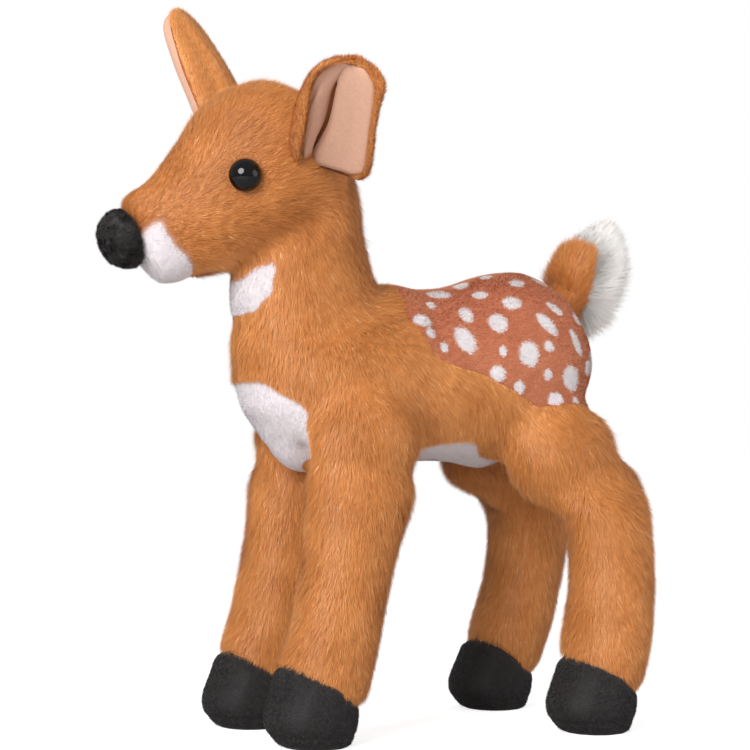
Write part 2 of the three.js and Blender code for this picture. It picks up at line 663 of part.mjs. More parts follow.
// The cup's section: place across and rise, as shares of the half width, from the front edge to the rear
const cupShares = [
	[-0.78, 0.46], [-0.86, 0.24], [-0.74, 0.06], [-0.52, 0], [-0.38, -0.16], [-0.22, 0.02], [0.10, 0.07],
	[0.42, 0.10], [0.74, 0.20], [1.0, 0.38]
];
const gentleShares = [
	[-1.0, 0.34], [-0.84, 0.20], [-0.62, 0.09], [-0.42, 0.03], [-0.24, 0], [-0.04, 0], [0.20, 0.02],
	[0.46, 0.08], [0.74, 0.19], [1.0, 0.36]
];

// Least share of the leaf's width that the lining keeps, and half length of the root as a share of it
const leastKeepShare = 0.2;
const earRootShare = 0.12;
const earRootSides = 8;
const sweepSteps = 1;

function earFrame(side) {
	const { forwardShare, upShare, along, facing } = earPoses[side];
	const root = cheekPoint(forwardShare * headLength, upShare * headHeight / 2, side);
	const length = along.clone().normalize();
	const front = facing.clone().addScaledVector(length, -facing.dot(length)).normalize();
	const rear = length.clone().cross(front).multiplyScalar(side).normalize();
	return { root, length, front, rear };
}

// A sheet that follows the cup between two depths, kept a rim inside the leaf's edge
function earSheet(side, low, high, rim) {
	const { root, length, front, rear } = earFrame(side);
	const grid = earShares.map(([leafAlong]) => {
		const along = THREE.MathUtils.lerp(leafAlong, 1 / 2, 2 * rim / earLength);
		const [, width, shift, fold] = rowAt(earShares, along);
		const half = width * earWidth / 2;
		const keep = Math.max(leastKeepShare, 1 - rim / half);
		return cupShares.map((_, column) => {
			const middle = (cupShares.length - 1) / 2;
			const place = middle + (column - middle) * keep;
			const [gentle, cup] = [sectionAt(gentleShares, place), sectionAt(cupShares, place)];
			return root.clone().addScaledVector(length, along * earLength)
				.addScaledVector(rear, THREE.MathUtils.lerp(gentle[0], cup[0], fold) * half + shift * earWidth / 2)
				.addScaledVector(front, THREE.MathUtils.lerp(gentle[1], cup[1], fold) * half);
		});
	});
	return sheetSolid(side === left ? grid : grid.map((row) => row.slice().reverse()), low, high);
}

// A closed sheet between two offsets of a grid of points, along the grid's own normals
function sheetSolid(grid, low, high) {
	const [rows, columns] = [grid.length, grid[0].length];
	const clamp = (value, count) => Math.min(Math.max(value, 0), count - 1);
	const normalAt = (row, column) => {
		const alongRow = grid[row][clamp(column + 1, columns)].clone().sub(grid[row][clamp(column - 1, columns)]);
		const downRows = grid[clamp(row + 1, rows)][column].clone().sub(grid[clamp(row - 1, rows)][column]);
		return alongRow.cross(downRows).normalize();
	};
	const layer = (offset) => grid.flatMap((row, r) => row.map((point, c) => point.clone()
		.addScaledVector(normalAt(r, c), offset)));
	const points = [...layer(low), ...layer(high)];
	const at = (row, column, top) => top * rows * columns + row * columns + column;
	const triangles = [];
	const quad = (a, b, c, d) => triangles.push([a, b, c], [a, c, d]);
	for (let r = 0; r < rows - 1; r++) {
		for (let c = 0; c < columns - 1; c++) {
			quad(at(r, c, 1), at(r, c + 1, 1), at(r + 1, c + 1, 1), at(r + 1, c, 1));
			quad(at(r, c, 0), at(r + 1, c, 0), at(r + 1, c + 1, 0), at(r, c + 1, 0));
		}
		quad(at(r, 0, 0), at(r, 0, 1), at(r + 1, 0, 1), at(r + 1, 0, 0));
		quad(at(r, columns - 1, 0), at(r + 1, columns - 1, 0), at(r + 1, columns - 1, 1), at(r, columns - 1, 1));
	}
	for (let c = 0; c < columns - 1; c++) {
		quad(at(0, c, 0), at(0, c + 1, 0), at(0, c + 1, 1), at(0, c, 1));
		quad(at(rows - 1, c, 0), at(rows - 1, c, 1), at(rows - 1, c + 1, 1), at(rows - 1, c + 1, 0));
	}
	return solidOf(closedGeometry(points, triangles));
}

const ears = [left, right].map((side) => {
	const { root, rear } = earFrame(side);
	const rootHalf = earWidth * earRootShare;
	const knuckle = (extra) => solidOf(capsule(root, rear, earRootRadius + extra, rootHalf, earRootSides));
	const headPath = swept(grown(head, seamGap), root, rear, earFoldRangeDeg, sweepSteps);
	const back = earSheet(side, -earBackThick, 0, 0).subtract(headPath).add(knuckle(0));
	const lining = earSheet(side, seamGap / 2, seamGap + earLiningThick, earRim).subtract(headPath)
		.subtract(earSheet(side, -earBackThick, seamGap, 0)).subtract(knuckle(seamGap));
	add(`ear_back_${sideName(side)}`, back, 'fur');
	add(`ear_lining_${sideName(side)}`, lining, 'lining');
	return knuckle(flexGap);
});

// The head is the skull and muzzle with the top of the neck that turns along with it
const headOutside = (depth) => grownSolid(head, -depth).add(grownSolid(neck, -depth));
const headWithin = (depth) => grownSolid(headCore, -depth).add(grownSolid(neckCore, -depth));
const headRoom = aboveTurn(seamGap).subtract(union([...eyes, ...ears]));
const headShell = (thick) => headOutside(furThick - thick).subtract(headWithin(furThick)).intersect(headRoom);

const headFur = headShell(furThick);
const cheeks = headFur.subtract(gussetSpace(seamGap)).subtract(muzzleSpace(seamGap));
for (const side of [left, right]) {
	add(`cheek_${sideName(side)}`, cheeks.intersect(sideSpace(side, seamGap)), 'fur');
}
add('forehead_gusset', headFur.intersect(gussetSpace(-seamGap)), 'fur');
add('muzzle_panel', headShell(whiteThick).intersect(muzzleSpace(-seamGap)).subtract(gussetSpace(seamGap)),
	'white');
add('head_stuffing', headWithin(furThick + seamGap).intersect(headRoom), 'filling');

// Tail: a raised leaf with fur above and long white pile below, on a round root

// Rows: along the tail, half width, depth to the front and to the back
const tailShares = [
	[0.02, 0.50, 0.40, 0.90], [0.16, 0.74, 0.66, 1.30], [0.36, 0.94, 0.86, 1.42], [0.56, 1.0, 0.88, 1.28],
	[0.76, 0.86, 0.76, 1.02], [0.90, 0.58, 0.50, 0.66]
];
const tailPoleShare = -0.02;
const tailSides = 12;
const tailAlong = vec(0, Math.sin(deg(tailLeanDeg)), Math.cos(deg(tailLeanDeg)));
const tailBack = vec(0, Math.cos(deg(tailLeanDeg)), -Math.sin(deg(tailLeanDeg)));

function tailForm() {
	const centreAt = (along) => tailRoot.clone().addScaledVector(tailAlong, along * tailLength);
	const rings = tailShares.map(([along, width, front, back]) => oval(centreAt(along), xAxis, tailBack,
		width * tailWidth / 2, back * tailDepth / 2, front * tailDepth / 2, tailSides));
	return loft(rings, centreAt(tailPoleShare), centreAt(1));
}

const trunkPath = swept(grown(trunk, seamGap), tailRoot, xAxis, tailRangeDeg, sweepSteps);
const tail = grownSolid(tailForm(), 0).subtract(trunkPath)
	.add(solidOf(capsule(tailRoot, xAxis, tailRootRadius, 0, tailRootSides)));
const tailSplit = (direction) => halfSpace(tailRoot.clone().addScaledVector(direction, seamGap / 2), direction);
add('tail_top', tail.intersect(tailSplit(tailBack.clone().negate())), 'fur');
add('tail_under', tail.intersect(tailSplit(tailBack)), 'white');

// Finished meshes

const looks = {
	fur: { color: 0xc47a3c, roughness: 0.95 }, saddle: { color: 0xb56a4c, roughness: 0.9 },
	white: { color: 0xe4e1e6, roughness: 0.95 }, black: { color: 0x1d1b1b, roughness: 0.9 },
	nose: { color: 0x1f1d1c, roughness: 0.95 }, lining: { color: 0xd8a78c, roughness: 0.85 },
	eye: { color: 0x080605, roughness: 0.08 }, washer: { color: 0xd9d6cf, roughness: 0.5 },
	filling: { color: 0xf2f1ee, roughness: 1 }
};

const fawn = new THREE.Group();
for (const { name, solid, material } of pieces) {
	const mesh = new THREE.Mesh(geometryOf(solid), new THREE.MeshStandardMaterial({ ...looks[material],
		metalness: 0 }));
	mesh.name = name;
	fawn.add(mesh);
}

// The origin lies under the middle of the whole toy, ears and tail included
const middle = new THREE.Box3().setFromObject(fawn).getCenter(vec());
fawn.position.set(-middle.x, -middle.y, 0);

export default fawn;
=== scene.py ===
import json
import math

import bmesh
import bpy
import numpy as np
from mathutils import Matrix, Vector
from mathutils.bvhtree import BVHTree


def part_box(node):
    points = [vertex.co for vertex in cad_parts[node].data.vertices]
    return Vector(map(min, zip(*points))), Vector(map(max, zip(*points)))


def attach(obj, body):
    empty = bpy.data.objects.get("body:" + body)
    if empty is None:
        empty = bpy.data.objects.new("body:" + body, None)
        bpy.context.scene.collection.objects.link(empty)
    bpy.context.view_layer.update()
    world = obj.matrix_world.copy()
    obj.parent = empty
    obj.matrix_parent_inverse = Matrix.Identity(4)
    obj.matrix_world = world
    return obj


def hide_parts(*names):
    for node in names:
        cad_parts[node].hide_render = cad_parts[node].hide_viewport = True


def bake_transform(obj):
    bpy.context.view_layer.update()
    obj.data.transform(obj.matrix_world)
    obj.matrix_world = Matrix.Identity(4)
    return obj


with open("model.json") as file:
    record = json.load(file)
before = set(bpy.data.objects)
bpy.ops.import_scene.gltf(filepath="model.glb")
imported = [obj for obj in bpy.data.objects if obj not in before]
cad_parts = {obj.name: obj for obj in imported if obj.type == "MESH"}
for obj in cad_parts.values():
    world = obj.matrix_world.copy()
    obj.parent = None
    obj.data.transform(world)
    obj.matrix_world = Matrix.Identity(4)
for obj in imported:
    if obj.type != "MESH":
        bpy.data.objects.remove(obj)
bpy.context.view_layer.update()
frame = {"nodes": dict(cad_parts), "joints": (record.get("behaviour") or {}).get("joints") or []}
mm = 0.001
joints = {joint["name"]: joint for joint in frame["joints"]}

# Places on the toy are measured from the floor under its middle line, which the neck's seam gives
neckSeam = {"back": -51.5 * mm, "height": 203 * mm, "twistBelow": 24 * mm}
turnPivot = np.array(joints["head_turn"]["pos_m"])
turnAxis = np.array(joints["head_turn"]["axis"])
origin = turnPivot - np.array([0, neckSeam["back"], neckSeam["height"]])
upward = np.array([0, 0, 1.0])


# Arrays and meshes

def numbers(items, name, width):
    found = np.empty(len(items) * width, np.float32)
    items.foreach_get(name, found)
    return found.reshape(-1, width).astype(float)


def corners(mesh, sides=4):
    found = np.empty(len(mesh.loops), np.int32)
    mesh.loops.foreach_get("vertex_index", found)
    return found.reshape(-1, sides)


def unit(vectors):
    return vectors / np.maximum(np.linalg.norm(vectors, axis=-1, keepdims=True), 1e-12)


def ease(values, low, high):
    # 0 below low, 1 above high and the cubic 3t^2 - 2t^3 between them
    share = np.clip((values - low) / (high - low), 0, 1)
    return share * share * (3 - 2 * share)


def within(values, start, full, fading, end):
    # 1 between full and fading, 0 outside start and end
    return ease(values, start, full) * (1 - ease(values, fading, end))


def smoothCurve(table, places):
    # a cubic through the rows (place, value, ...), with each row's slope taken from its neighbours
    table = np.array(table, float)
    at, values = table[:, 0], table[:, 1:]
    slopes = np.gradient(values, at, axis=0)
    span = np.clip(np.searchsorted(at, places, side="right") - 1, 0, len(at) - 2)
    width = (at[span + 1] - at[span])[:, None]
    t = np.clip((places - at[span])[:, None] / width, 0, 1)
    return (values[span] * (1 + 2 * t) * (1 - t) ** 2 + values[span + 1] * t * t * (3 - 2 * t)
            + width * slopes[span] * t * (1 - t) ** 2 - width * slopes[span + 1] * t * t * (1 - t))


def newObject(name, mesh, material=None):
    piece = bpy.data.objects.new(name, mesh)
    bpy.context.scene.collection.objects.link(piece)
    if material:
        mesh.materials.append(material)
    return piece


def meshOf(name, places, faces):
    mesh = bpy.data.meshes.new(name)
    mesh.from_pydata(places.tolist(), [], faces.tolist())
    mesh.shade_smooth()
    return mesh


def evaluated(piece):
    bpy.context.view_layer.update()
    return bpy.data.meshes.new_from_object(piece.evaluated_get(bpy.context.evaluated_depsgraph_get()))


def vertexNormals(places, faces):
    # the sum, at each point, of the cross products of the diagonals of the quads round it
    first, second, third, fourth = (places[faces[:, k]] for k in range(4))
    spread = np.repeat(np.cross(third - first, fourth - second), 4, axis=0)
    return unit(np.stack([np.bincount(faces.ravel(), spread[:, k], len(places)) for k in range(3)], 1))


def relaxed(values, faces, shares):
    # for each share, every point moves by that share of the way to the mean of its neighbours
    sides = [np.stack([faces, np.roll(faces, turn, 1)], -1).reshape(-1, 2) for turn in (1, -1)]
    pairs = np.concatenate(sides)
    count = np.bincount(pairs[:, 0], minlength=len(values))[:, None]
    for share in shares:
        mean = np.stack([np.bincount(pairs[:, 0], values[pairs[:, 1], k], len(values))
                         for k in range(values.shape[1])], 1) / count
        values = values + share * (mean - values)
    return values


def mainPart(places, faces):
    # only the largest of the parts that hang together: labels run to each part's least number
    label = np.arange(len(places))
    while True:
        spread = label.copy()
        np.minimum.at(spread, faces.ravel(), np.repeat(label[faces].min(1), faces.shape[1]))
        spread = spread[spread]
        if (spread == label).all():
            break
        label = spread
    kept = label == np.bincount(label).argmax()
    number = np.cumsum(kept) - 1
    return places[kept], number[faces[kept[faces[:, 0]]]]


def moulded(name, nodes, voxel, grow):
    # the outer form of several CAD nodes, whose narrow gaps are closed by growing each a little
    joined = bmesh.new()
    for node in nodes:
        joined.from_mesh(frame["nodes"][node].data)
    bmesh.ops.remove_doubles(joined, verts=joined.verts, dist=0.001 * mm)
    mesh = bpy.data.meshes.new(name)
    joined.to_mesh(mesh)
    joined.free()
    places = numbers(mesh.vertices, "co", 3) + grow * numbers(mesh.vertices, "normal", 3)
    mesh.vertices.foreach_set("co", places.astype(np.float32).ravel())
    piece = newObject(name, mesh)
    remesh = piece.modifiers.new("voxels", "REMESH")
    remesh.mode, remesh.voxel_size = "VOXEL", voxel
    found = evaluated(piece)
    bpy.data.objects.remove(piece)
    return mainPart(numbers(found.vertices, "co", 3), corners(found))


def swelled(places, faces, look):
    # a closed skin blown up a little by cloth simulation, no point moving further than the cap
    piece = newObject("swelling", meshOf("swelling", places, faces))
    cloth = piece.modifiers.new("swell", "CLOTH")
    cloth.settings.quality = look["quality"]
    cloth.settings.mass = look["mass"]
    cloth.settings.tension_stiffness = cloth.settings.compression_stiffness = look["stiffness"]
    cloth.settings.use_pressure = True
    cloth.settings.uniform_pressure_force = look["pressure"]
    cloth.settings.effector_weights.gravity = 0
    for step in range(1, look["frames"] + 1):
        bpy.context.scene.frame_set(step)
    moved = numbers(evaluated(piece).vertices, "co", 3) - places
    bpy.context.scene.frame_set(1)
    bpy.data.objects.remove(piece)
    far = np.linalg.norm(moved, axis=1, keepdims=True)
    print("cloth moved the skin by up to", round(far.max() / mm, 2), "mm")
    return places + moved * np.minimum(1, look["cap"] / np.maximum(far, 1e-9))


def subdivided(places, faces):
    piece = newObject("finer", meshOf("finer", places, faces))
    finer = piece.modifiers.new("finer", "SUBSURF")
    finer.levels = finer.render_levels = 1
    found = evaluated(piece)
    bpy.data.objects.remove(piece)
    return numbers(found.vertices, "co", 3), corners(found)


def waves(points, length, seed, count=14):
    # a smooth random field: the mean of sine waves with random directions, and its slope
    rng = np.random.default_rng(seed)
    ways = unit(rng.normal(size=(count, 3))) * rng.uniform(0.7, 1.4, (count, 1)) * 2 * math.pi / length
    angles = points @ ways.T + rng.uniform(0, 2 * math.pi, count)
    scale = math.sqrt(2 / count)
    return np.sin(angles).sum(1) * scale, (np.cos(angles) @ ways) * scale * length / (2 * math.pi)


# Materials

def tint(red, green, blue):
    # a screen colour of 0 to 255 as the linear colour that nodes take
    value = np.array([red, green, blue]) / 255
    return (*np.where(value <= 0.04045, value / 12.92, ((value + 0.055) / 1.055) ** 2.4), 1)


class Wire:
    # a socket on which sums can be written: each one adds a Math node
    def __init__(self, paint, socket):
        self.paint, self.socket = paint, socket

    def output(self, key):
        return Wire(self.paint, self.socket.node.outputs[key])

    def maths(self, operation, other):
        return self.paint.node("ShaderNodeMath", {"operation": operation}, {0: self, 1: other})

    def __add__(self, other):
        return self.maths("ADD", other)

    def __mul__(self, other):
        return self.maths("MULTIPLY", other)

    __radd__ = __add__
    __rmul__ = __mul__


class Paint:
    # the nodes of one material, or of the world
    def __init__(self, owner):
        self.owner = owner
        owner.use_nodes = True
        self.tree = owner.node_tree
        self.tree.nodes.clear()

    def node(self, kind, settings={}, values={}, output=0):
        made = self.tree.nodes.new(kind)
        for key, value in settings.items():
            if key == "stops":
                self.ramp(made.color_ramp, value)
            else:
                setattr(made, key, value)
        for key, value in values.items():
            if isinstance(value, Wire):
                self.tree.links.new(value.socket, made.inputs[key])
            else:
                made.inputs[key].default_value = value
        return Wire(self, made.outputs[output]) if made.outputs else made

    def ramp(self, ramp, stops):
        first, last = ramp.elements[0], ramp.elements[1]
        (first.position, first.color), (last.position, last.color) = stops[0], stops[-1]
        for place, colour in stops[1:-1]:
            ramp.elements.new(place).color = colour

    def mixed(self, share, first, second, way="MIX"):
        return self.node("ShaderNodeMix", {"data_type": "RGBA", "blend_type": way},
                         {0: share, 6: first, 7: second}, 2)

    def finish(self, **values):
        values = {key.replace("_", " "): value for key, value in values.items()}
        surface = self.node("ShaderNodeBsdfPrincipled", {}, values)
        self.node("ShaderNodeOutputMaterial", {}, {"Surface": surface})
        return self.owner


def pileMaterial(name, look):
    # a hair's colour comes from its own map alone: its tone lies across, and its length runs up, darkening
    # towards the root as painted shade
    paint = Paint(bpy.data.materials.new(name))
    place = paint.node("ShaderNodeSeparateXYZ", {}, {0: paint.node("ShaderNodeUVMap", {"uv_map": "OFBake"})})
    tone = paint.node("ShaderNodeValToRGB", {"stops": look["tones"]}, {0: place})
    depth = paint.node("ShaderNodeValToRGB", {"stops": look["paintedRootShade"]}, {0: place.output(1)})
    return paint.finish(Base_Color=paint.mixed(1.0, tone, depth, "MULTIPLY"), Roughness=look["roughness"],
                        Specular_IOR_Level=look["shine"], Sheen_Weight=look["sheen"],
                        Sheen_Roughness=0.5, Sheen_Tint=look["sheenTint"])


# Colours as they are on the toy, except each look's darker roots, which are painted shade, and the fur's
# lightest tones, which are painted glints
furTones = [(0, tint(160, 92, 40)), (0.22, tint(194, 118, 56)), (0.5, tint(222, 146, 78)),
            (0.8, tint(238, 168, 100)), (1, tint(255, 214, 160))]
# painted shade: each hair darkens towards its root, where the pile shades itself; each look below has its own
paintedRootShade = [(0, (0.66, 0.60, 0.56, 1)), (0.4, (0.94, 0.93, 0.92, 1)), (1, (1.0, 1.0, 1.0, 1))]
furLook = {"tones": furTones, "paintedRootShade": paintedRootShade, "roughness": 0.55, "shine": 0.35, "sheen": 0.25,
           "sheenTint": tint(255, 214, 160)}
# Tones below a half are the saddle's ground, and those above are its spots
saddleTones = [(0, tint(184, 102, 68)), (0.25, tint(214, 132, 92)), (0.47, tint(238, 163, 122)),
               (0.53, tint(232, 222, 218)), (0.75, tint(242, 238, 238)), (1, tint(252, 250, 250))]
saddleLook = {**furLook, "tones": saddleTones, "sheenTint": tint(255, 205, 180),
              "paintedRootShade": [(0, (0.85, 0.80, 0.78, 1)), (0.5, (0.97, 0.96, 0.96, 1)), (1, (1, 1, 1, 1))]}
whiteTones = [(0, tint(226, 217, 220)), (0.5, tint(236, 228, 231)), (1, tint(246, 240, 242))]
whiteLook = {**furLook, "tones": whiteTones, "shine": 0.1, "sheenTint": tint(255, 255, 255),
             "paintedRootShade": [(0, (0.97, 0.96, 0.96, 1)), (1, (1, 1, 1, 1))]}
blackTones = [(0, tint(20, 16, 16)), (0.6, tint(31, 26, 26)), (0.93, tint(46, 40, 40)), (1, tint(90, 82, 80))]
blackLook = {**furLook, "tones": blackTones, "sheen": 0.22, "sheenTint": tint(150, 145, 145),
             "paintedRootShade": [(0, (0.6, 0.6, 0.6, 1)), (1, (1, 1, 1, 1))]}
plumeTones = [(0, tint(236, 230, 224)), (0.5, tint(248, 244, 239)), (1, tint(255, 253, 250))]
plumeLook = {**whiteLook, "tones": plumeTones, "sheen": 0.7,
             "paintedRootShade": [(0, (0.98, 0.97, 0.96, 1)), (1, (1, 1, 1, 1))]}
furPile = pileMaterial("fur_pile", furLook)
saddlePile = pileMaterial("saddle_pile", saddleLook)
whitePile = pileMaterial("white_pile", whiteLook)
blackPile = pileMaterial("black_pile", blackLook)
plumePile = pileMaterial("plume_pile", plumeLook)


def clothMaterial(name, look):
    # knitted backing under the pile: two colours mixed by fine noise, with a bump of the same noise.
    # The masks saddle and white are painted on the skin's points.
    paint = Paint(bpy.data.materials.new(name))
    at = paint.node("ShaderNodeTexCoord", {}, {}, 3)
    grain = paint.node("ShaderNodeTexNoise", {}, {"Vector": at, "Scale": look["grain"], "Detail": 3.0})
    colour = paint.mixed(grain, look["dark"], look["light"])
    for mask, dark, light in look.get("masks", []):
        painted = paint.node("ShaderNodeAttribute", {"attribute_name": mask}, {}, 2)
        colour = paint.mixed(painted, colour, paint.mixed(grain, dark, light))
    bump = paint.node("ShaderNodeBump", {}, {"Height": grain, "Strength": look["bump"],
                                             "Distance": look["depth"]})
    return paint.finish(Base_Color=colour, Roughness=look["roughness"], Normal=bump,
                        Sheen_Weight=look["sheen"], Sheen_Tint=look["sheenTint"])


backing = clothMaterial("pile_backing", {
    "grain": 900.0, "dark": tint(120, 66, 28), "light": tint(170, 100, 46), "bump": 0.6, "depth": 0.4 * mm,
    "roughness": 0.9, "sheen": 0.2, "sheenTint": tint(255, 214, 160),
    "masks": [("saddle", tint(176, 98, 70), tint(206, 126, 96)),
              ("white", tint(222, 214, 217), tint(238, 231, 233))]})
bootCloth = clothMaterial("boot_backing", {
    "grain": 1200.0, "dark": tint(24, 21, 21), "light": tint(44, 40, 40), "bump": 0.7, "depth": 0.3 * mm,
    "roughness": 0.9, "sheen": 0.3, "sheenTint": tint(150, 145, 145)})


# Hair

tones = 64  # columns of the hairs' own map


def scatter(places, faces, facing, perArea, rng):
    # roots spread evenly over the faces, their normals, a function that reads the points' values at the
    # roots, and each root's nearest corner
    quads = places[faces]
    area = np.linalg.norm(np.cross(quads[:, 2] - quads[:, 0], quads[:, 3] - quads[:, 1]), axis=1) / 2
    total = area.sum()
    face = np.searchsorted(np.cumsum(area), rng.uniform(0, total, round(total * perArea)))
    u, v = rng.uniform(size=(2, len(face), 1))
    weight = np.stack([(1 - u) * (1 - v), u * (1 - v), u * v, (1 - u) * v], 1)

    def read(values):
        return (values.reshape(len(places), -1)[faces[face]] * weight).sum(1).squeeze()

    corner = faces[face][np.arange(len(face)), weight[:, :, 0].argmax(1)]
    return read(places), unit(read(facing)), read, corner


def picked(chosen, *arrays):
    return [values[chosen] for values in arrays]


def hairs(name, look, material, seed, roots, facing, flow, tone, length):
    # Each hair is a ribbon of look["rows"] steps. Step k points along the flow, raised by the lift times
    # (1 - k * droop), and tips are drawn together down the slope of a fine wave field, as tufts.
    # One flow or one length may serve for all.
    rng = np.random.default_rng(seed)
    count, rows = len(roots), look["rows"]
    length = np.broadcast_to(length, count)
    flow = unit(flow - facing * (flow * facing).sum(1, keepdims=True))
    across = np.cross(facing, flow)
    turn = np.radians(look["scatter"]) * rng.normal(size=(count, 1))
    flow = flow * np.cos(turn) + across * np.sin(turn)
    across = np.cross(facing, flow)
    lift = np.radians(look["lift"] + look["liftScatter"] * rng.normal(size=(count, 1)))
    step = (length * rng.uniform(0.72, 1.12, count))[:, None] / rows
    _, slope = waves(roots, look["tuft"], look["tuftSeed"])
    pull = -look["pull"] * (slope - facing * (slope * facing).sum(1, keepdims=True))
    twist = np.radians(look["twist"]) * rng.normal(size=(count, 1))
    wide = across * np.cos(twist) + facing * np.sin(twist)
    spot = roots - look["sink"] * facing
    places, normals = [], []
    for k in range(rows + 1):
        raised = lift * (1 - look["droop"] * min(k, rows - 1) / rows)
        way = flow * np.cos(raised) + facing * np.sin(raised)
        drawn = spot + pull * (length / np.max(length))[:, None] * (k / rows) ** 1.5
        half = wide * look["width"] / 2 * (1 - 0.35 * k / rows)
        shown = unit(look["smooth"] * facing + (1 - look["smooth"]) * np.cross(way, wide)
                     + look["glint"] * turn * across)
        places += [drawn - half, drawn + half] if k < rows else [drawn]
        normals += [shown, shown] if k < rows else [shown]
        spot = spot + way * step
    places, normals = np.stack(places, 1), np.stack(normals, 1)
    each = places.shape[1]
    pattern = [index for k in range(rows - 1) for index in (2 * k, 2 * k + 2, 2 * k + 3, 2 * k + 1)]
    pattern = np.array(pattern + [2 * rows - 2, 2 * rows, 2 * rows - 1])
    starts = np.array([4 * k for k in range(rows)])
    mesh = bpy.data.meshes.new(name)
    mesh.vertices.add(count * each)
    mesh.loops.add(count * len(pattern))
    mesh.polygons.add(count * rows)
    mesh.vertices.foreach_set("co", places.astype(np.float32).ravel())
    loops = np.arange(count)[:, None] * each + pattern
    mesh.loops.foreach_set("vertex_index", loops.astype(np.int32).ravel())
    firsts = np.arange(count)[:, None] * len(pattern) + starts
    mesh.polygons.foreach_set("loop_start", firsts.astype(np.int32).ravel())
    mesh.update(calc_edges=True)
    column = np.floor(np.clip(tone, 0, 0.9999) * tones)[:, None]
    right = np.array([k % 2 for k in range(2 * rows)] + [0.5])[pattern]
    up = np.array([k // 2 for k in range(2 * rows)] + [rows])[pattern] / rows
    layer = mesh.uv_layers.new(name="OFBake")
    flat = np.stack([(column + 0.1 + 0.8 * right) / tones, np.broadcast_to(up, (count, len(pattern)))], -1)
    layer.uv.foreach_set("vector", flat.astype(np.float32).ravel())
    mesh.shade_smooth()
    mesh.normals_split_custom_set_from_vertices(normals.reshape(-1, 3))
    print(name, count, "hairs,", count * (2 * rows - 1), "triangles")
    return newObject(name, mesh, material)


# The skin: one closed form of the whole stuffed toy, from the CAD pieces of cloth and filling

skinLook = {"voxel": 2.6 * mm, "smooth": [0.5, -0.35] * 4 + [0.4] * 3, "steps": 4, "quality": 5,
            "mass": 0.15, "stiffness": 12, "pressure": 4, "frames": 20, "cap": 1.2 * mm, "grow": 0.4 * mm,
            "spare": 0.8 * mm, "pileTop": 2.5 * mm}
fabricOf = {"side_panel": "fur", "leg_front": "fur", "leg_hind": "fur", "cheek": "fur", "forehead": "fur",
            "back_saddle": "saddle", "belly": "white", "throat": "white", "muzzle": "white", "hoof": "boot"}
fabricNodes = [node for node in frame["nodes"] if any(node.startswith(start) for start in fabricOf)]
stuffing = [node for node in frame["nodes"] if "stuffing" in node]
noseTip = origin + np.array([0, -128, 197]) * mm


def aboveSeam(points):
    return (points - turnPivot) @ turnAxis


furLength = {"nose": 2.8 * mm, "cheek": 6.5 * mm, "body": 7.8 * mm, "foot": 6.8 * mm}


def hairLength(points):
    # short on the muzzle, longer towards the cheeks and the neck, and a little shorter down the legs
    fromNose = np.linalg.norm(points - noseTip, axis=1)
    face = furLength["nose"] + (furLength["cheek"] - furLength["nose"]) * ease(fromNose, 14 * mm, 75 * mm)
    body = furLength["foot"] + (furLength["body"] - furLength["foot"]) * ease(points[:, 2], 20 * mm, 90 * mm)
    onHead = ease(aboveSeam(points), -8 * mm, 14 * mm)
    return face * onHead + body * (1 - onHead)


def flowOf(points):
    # away from the nose on the head, down the neck and legs, down and back along the flanks
    place = points - origin
    back, height = place[:, 1], place[:, 2]
    onHead = ease(aboveSeam(points), -6 * mm, 16 * mm) * (1 - 0.8 * ease(back, -52 * mm, -34 * mm))
    radial = unit(points - noseTip)
    side = ease(height, 100 * mm, 150 * mm) * within(back, -45 * mm, -5 * mm, 45 * mm, 75 * mm)
    lean = 0.12 - 0.32 * (1 - ease(back, -20 * mm, 15 * mm)) * (1 - ease(height, 95 * mm, 130 * mm))
    down = np.stack([0 * back, lean + 0.5 * side, -1 + 0.15 * side], 1)
    wander, _ = waves(points, 30 * mm, 5)
    sideways, _ = waves(points, 24 * mm, 6)
    mixed = onHead[:, None] * radial + (1 - onHead[:, None]) * unit(down)
    return mixed + 0.12 * np.stack([sideways, wander, 0 * wander], 1)


# Each point takes the fabric of the nearest piece of cloth, and the seams between fabrics are smoothed
nodeNames, cloths, clothFaces, clothNode = [], [], [], []
for node in fabricNodes:
    mesh = frame["nodes"][node].data
    clothFaces.append(corners(mesh, 3) + sum(len(c) for c in cloths))
    cloths.append(numbers(mesh.vertices, "co", 3))
    clothNode += [len(nodeNames)] * len(mesh.polygons)
    nodeNames.append(node)
nearest = BVHTree.FromPolygons(np.concatenate(cloths).tolist(), np.concatenate(clothFaces).tolist())
kinds = np.array([kind for node in nodeNames for start, kind in fabricOf.items() if node.startswith(start)])
hoofMiddles = [sum(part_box("hoof_" + leg), Vector()).y / 2 - origin[1] for leg in ("front_left", "hind_left")]

# Where the seams lie otherwise than on the plain solids, once the long pile is brushed away from them.
# Each row: the axis along which a point is looked up elsewhere (1 back, 2 up), by how many mm, and the
# stretches of back and of height where it counts, each of which starts, is full, fades and ends.
off = 1000
seamShifts = [
    # the saddle's front edge
    [1, 4.0, (-32, -22, 0, 20), (138, 150, off, off + 1)],
    [1, 6.4, (-32, -22, 0, 20), (157, 170, off, off + 1)],
    # the saddle's lower edge over the haunches
    [2, 3.5, (35, 55, off, off + 1), (122, 128, off, off + 1)],
    # the muzzle's white, which rises in a corner beside the nose
    [1, -12.0, (-off, 1 - off, -95, -80), (195, 207, off, off + 1)],
    [1, -3.5, (-off, 1 - off, -95, -80), (190, 198, off, off + 1)],
    [2, -4.0, (-off, 1 - off, -95, -80), (201, 208, 214, 221)],
    # the throat's upper edge
    [2, 3.5, (-90, -80, -50, -44), (175, 185, off, off + 1)],
    # the belly's white behind the front legs
    [2, 8.0, (-34, -26, -4, 7), (-off, 1 - off, 116, 126)],
]
hoofLine = {"slope": 6.5, "lift": 1.0, "half": 15, "fades": (45, 60)}
chestPoint = {"behind": -36, "tip": 101, "top": 122, "from": 98, "lookUp": (-72, 122), "widest": 34}


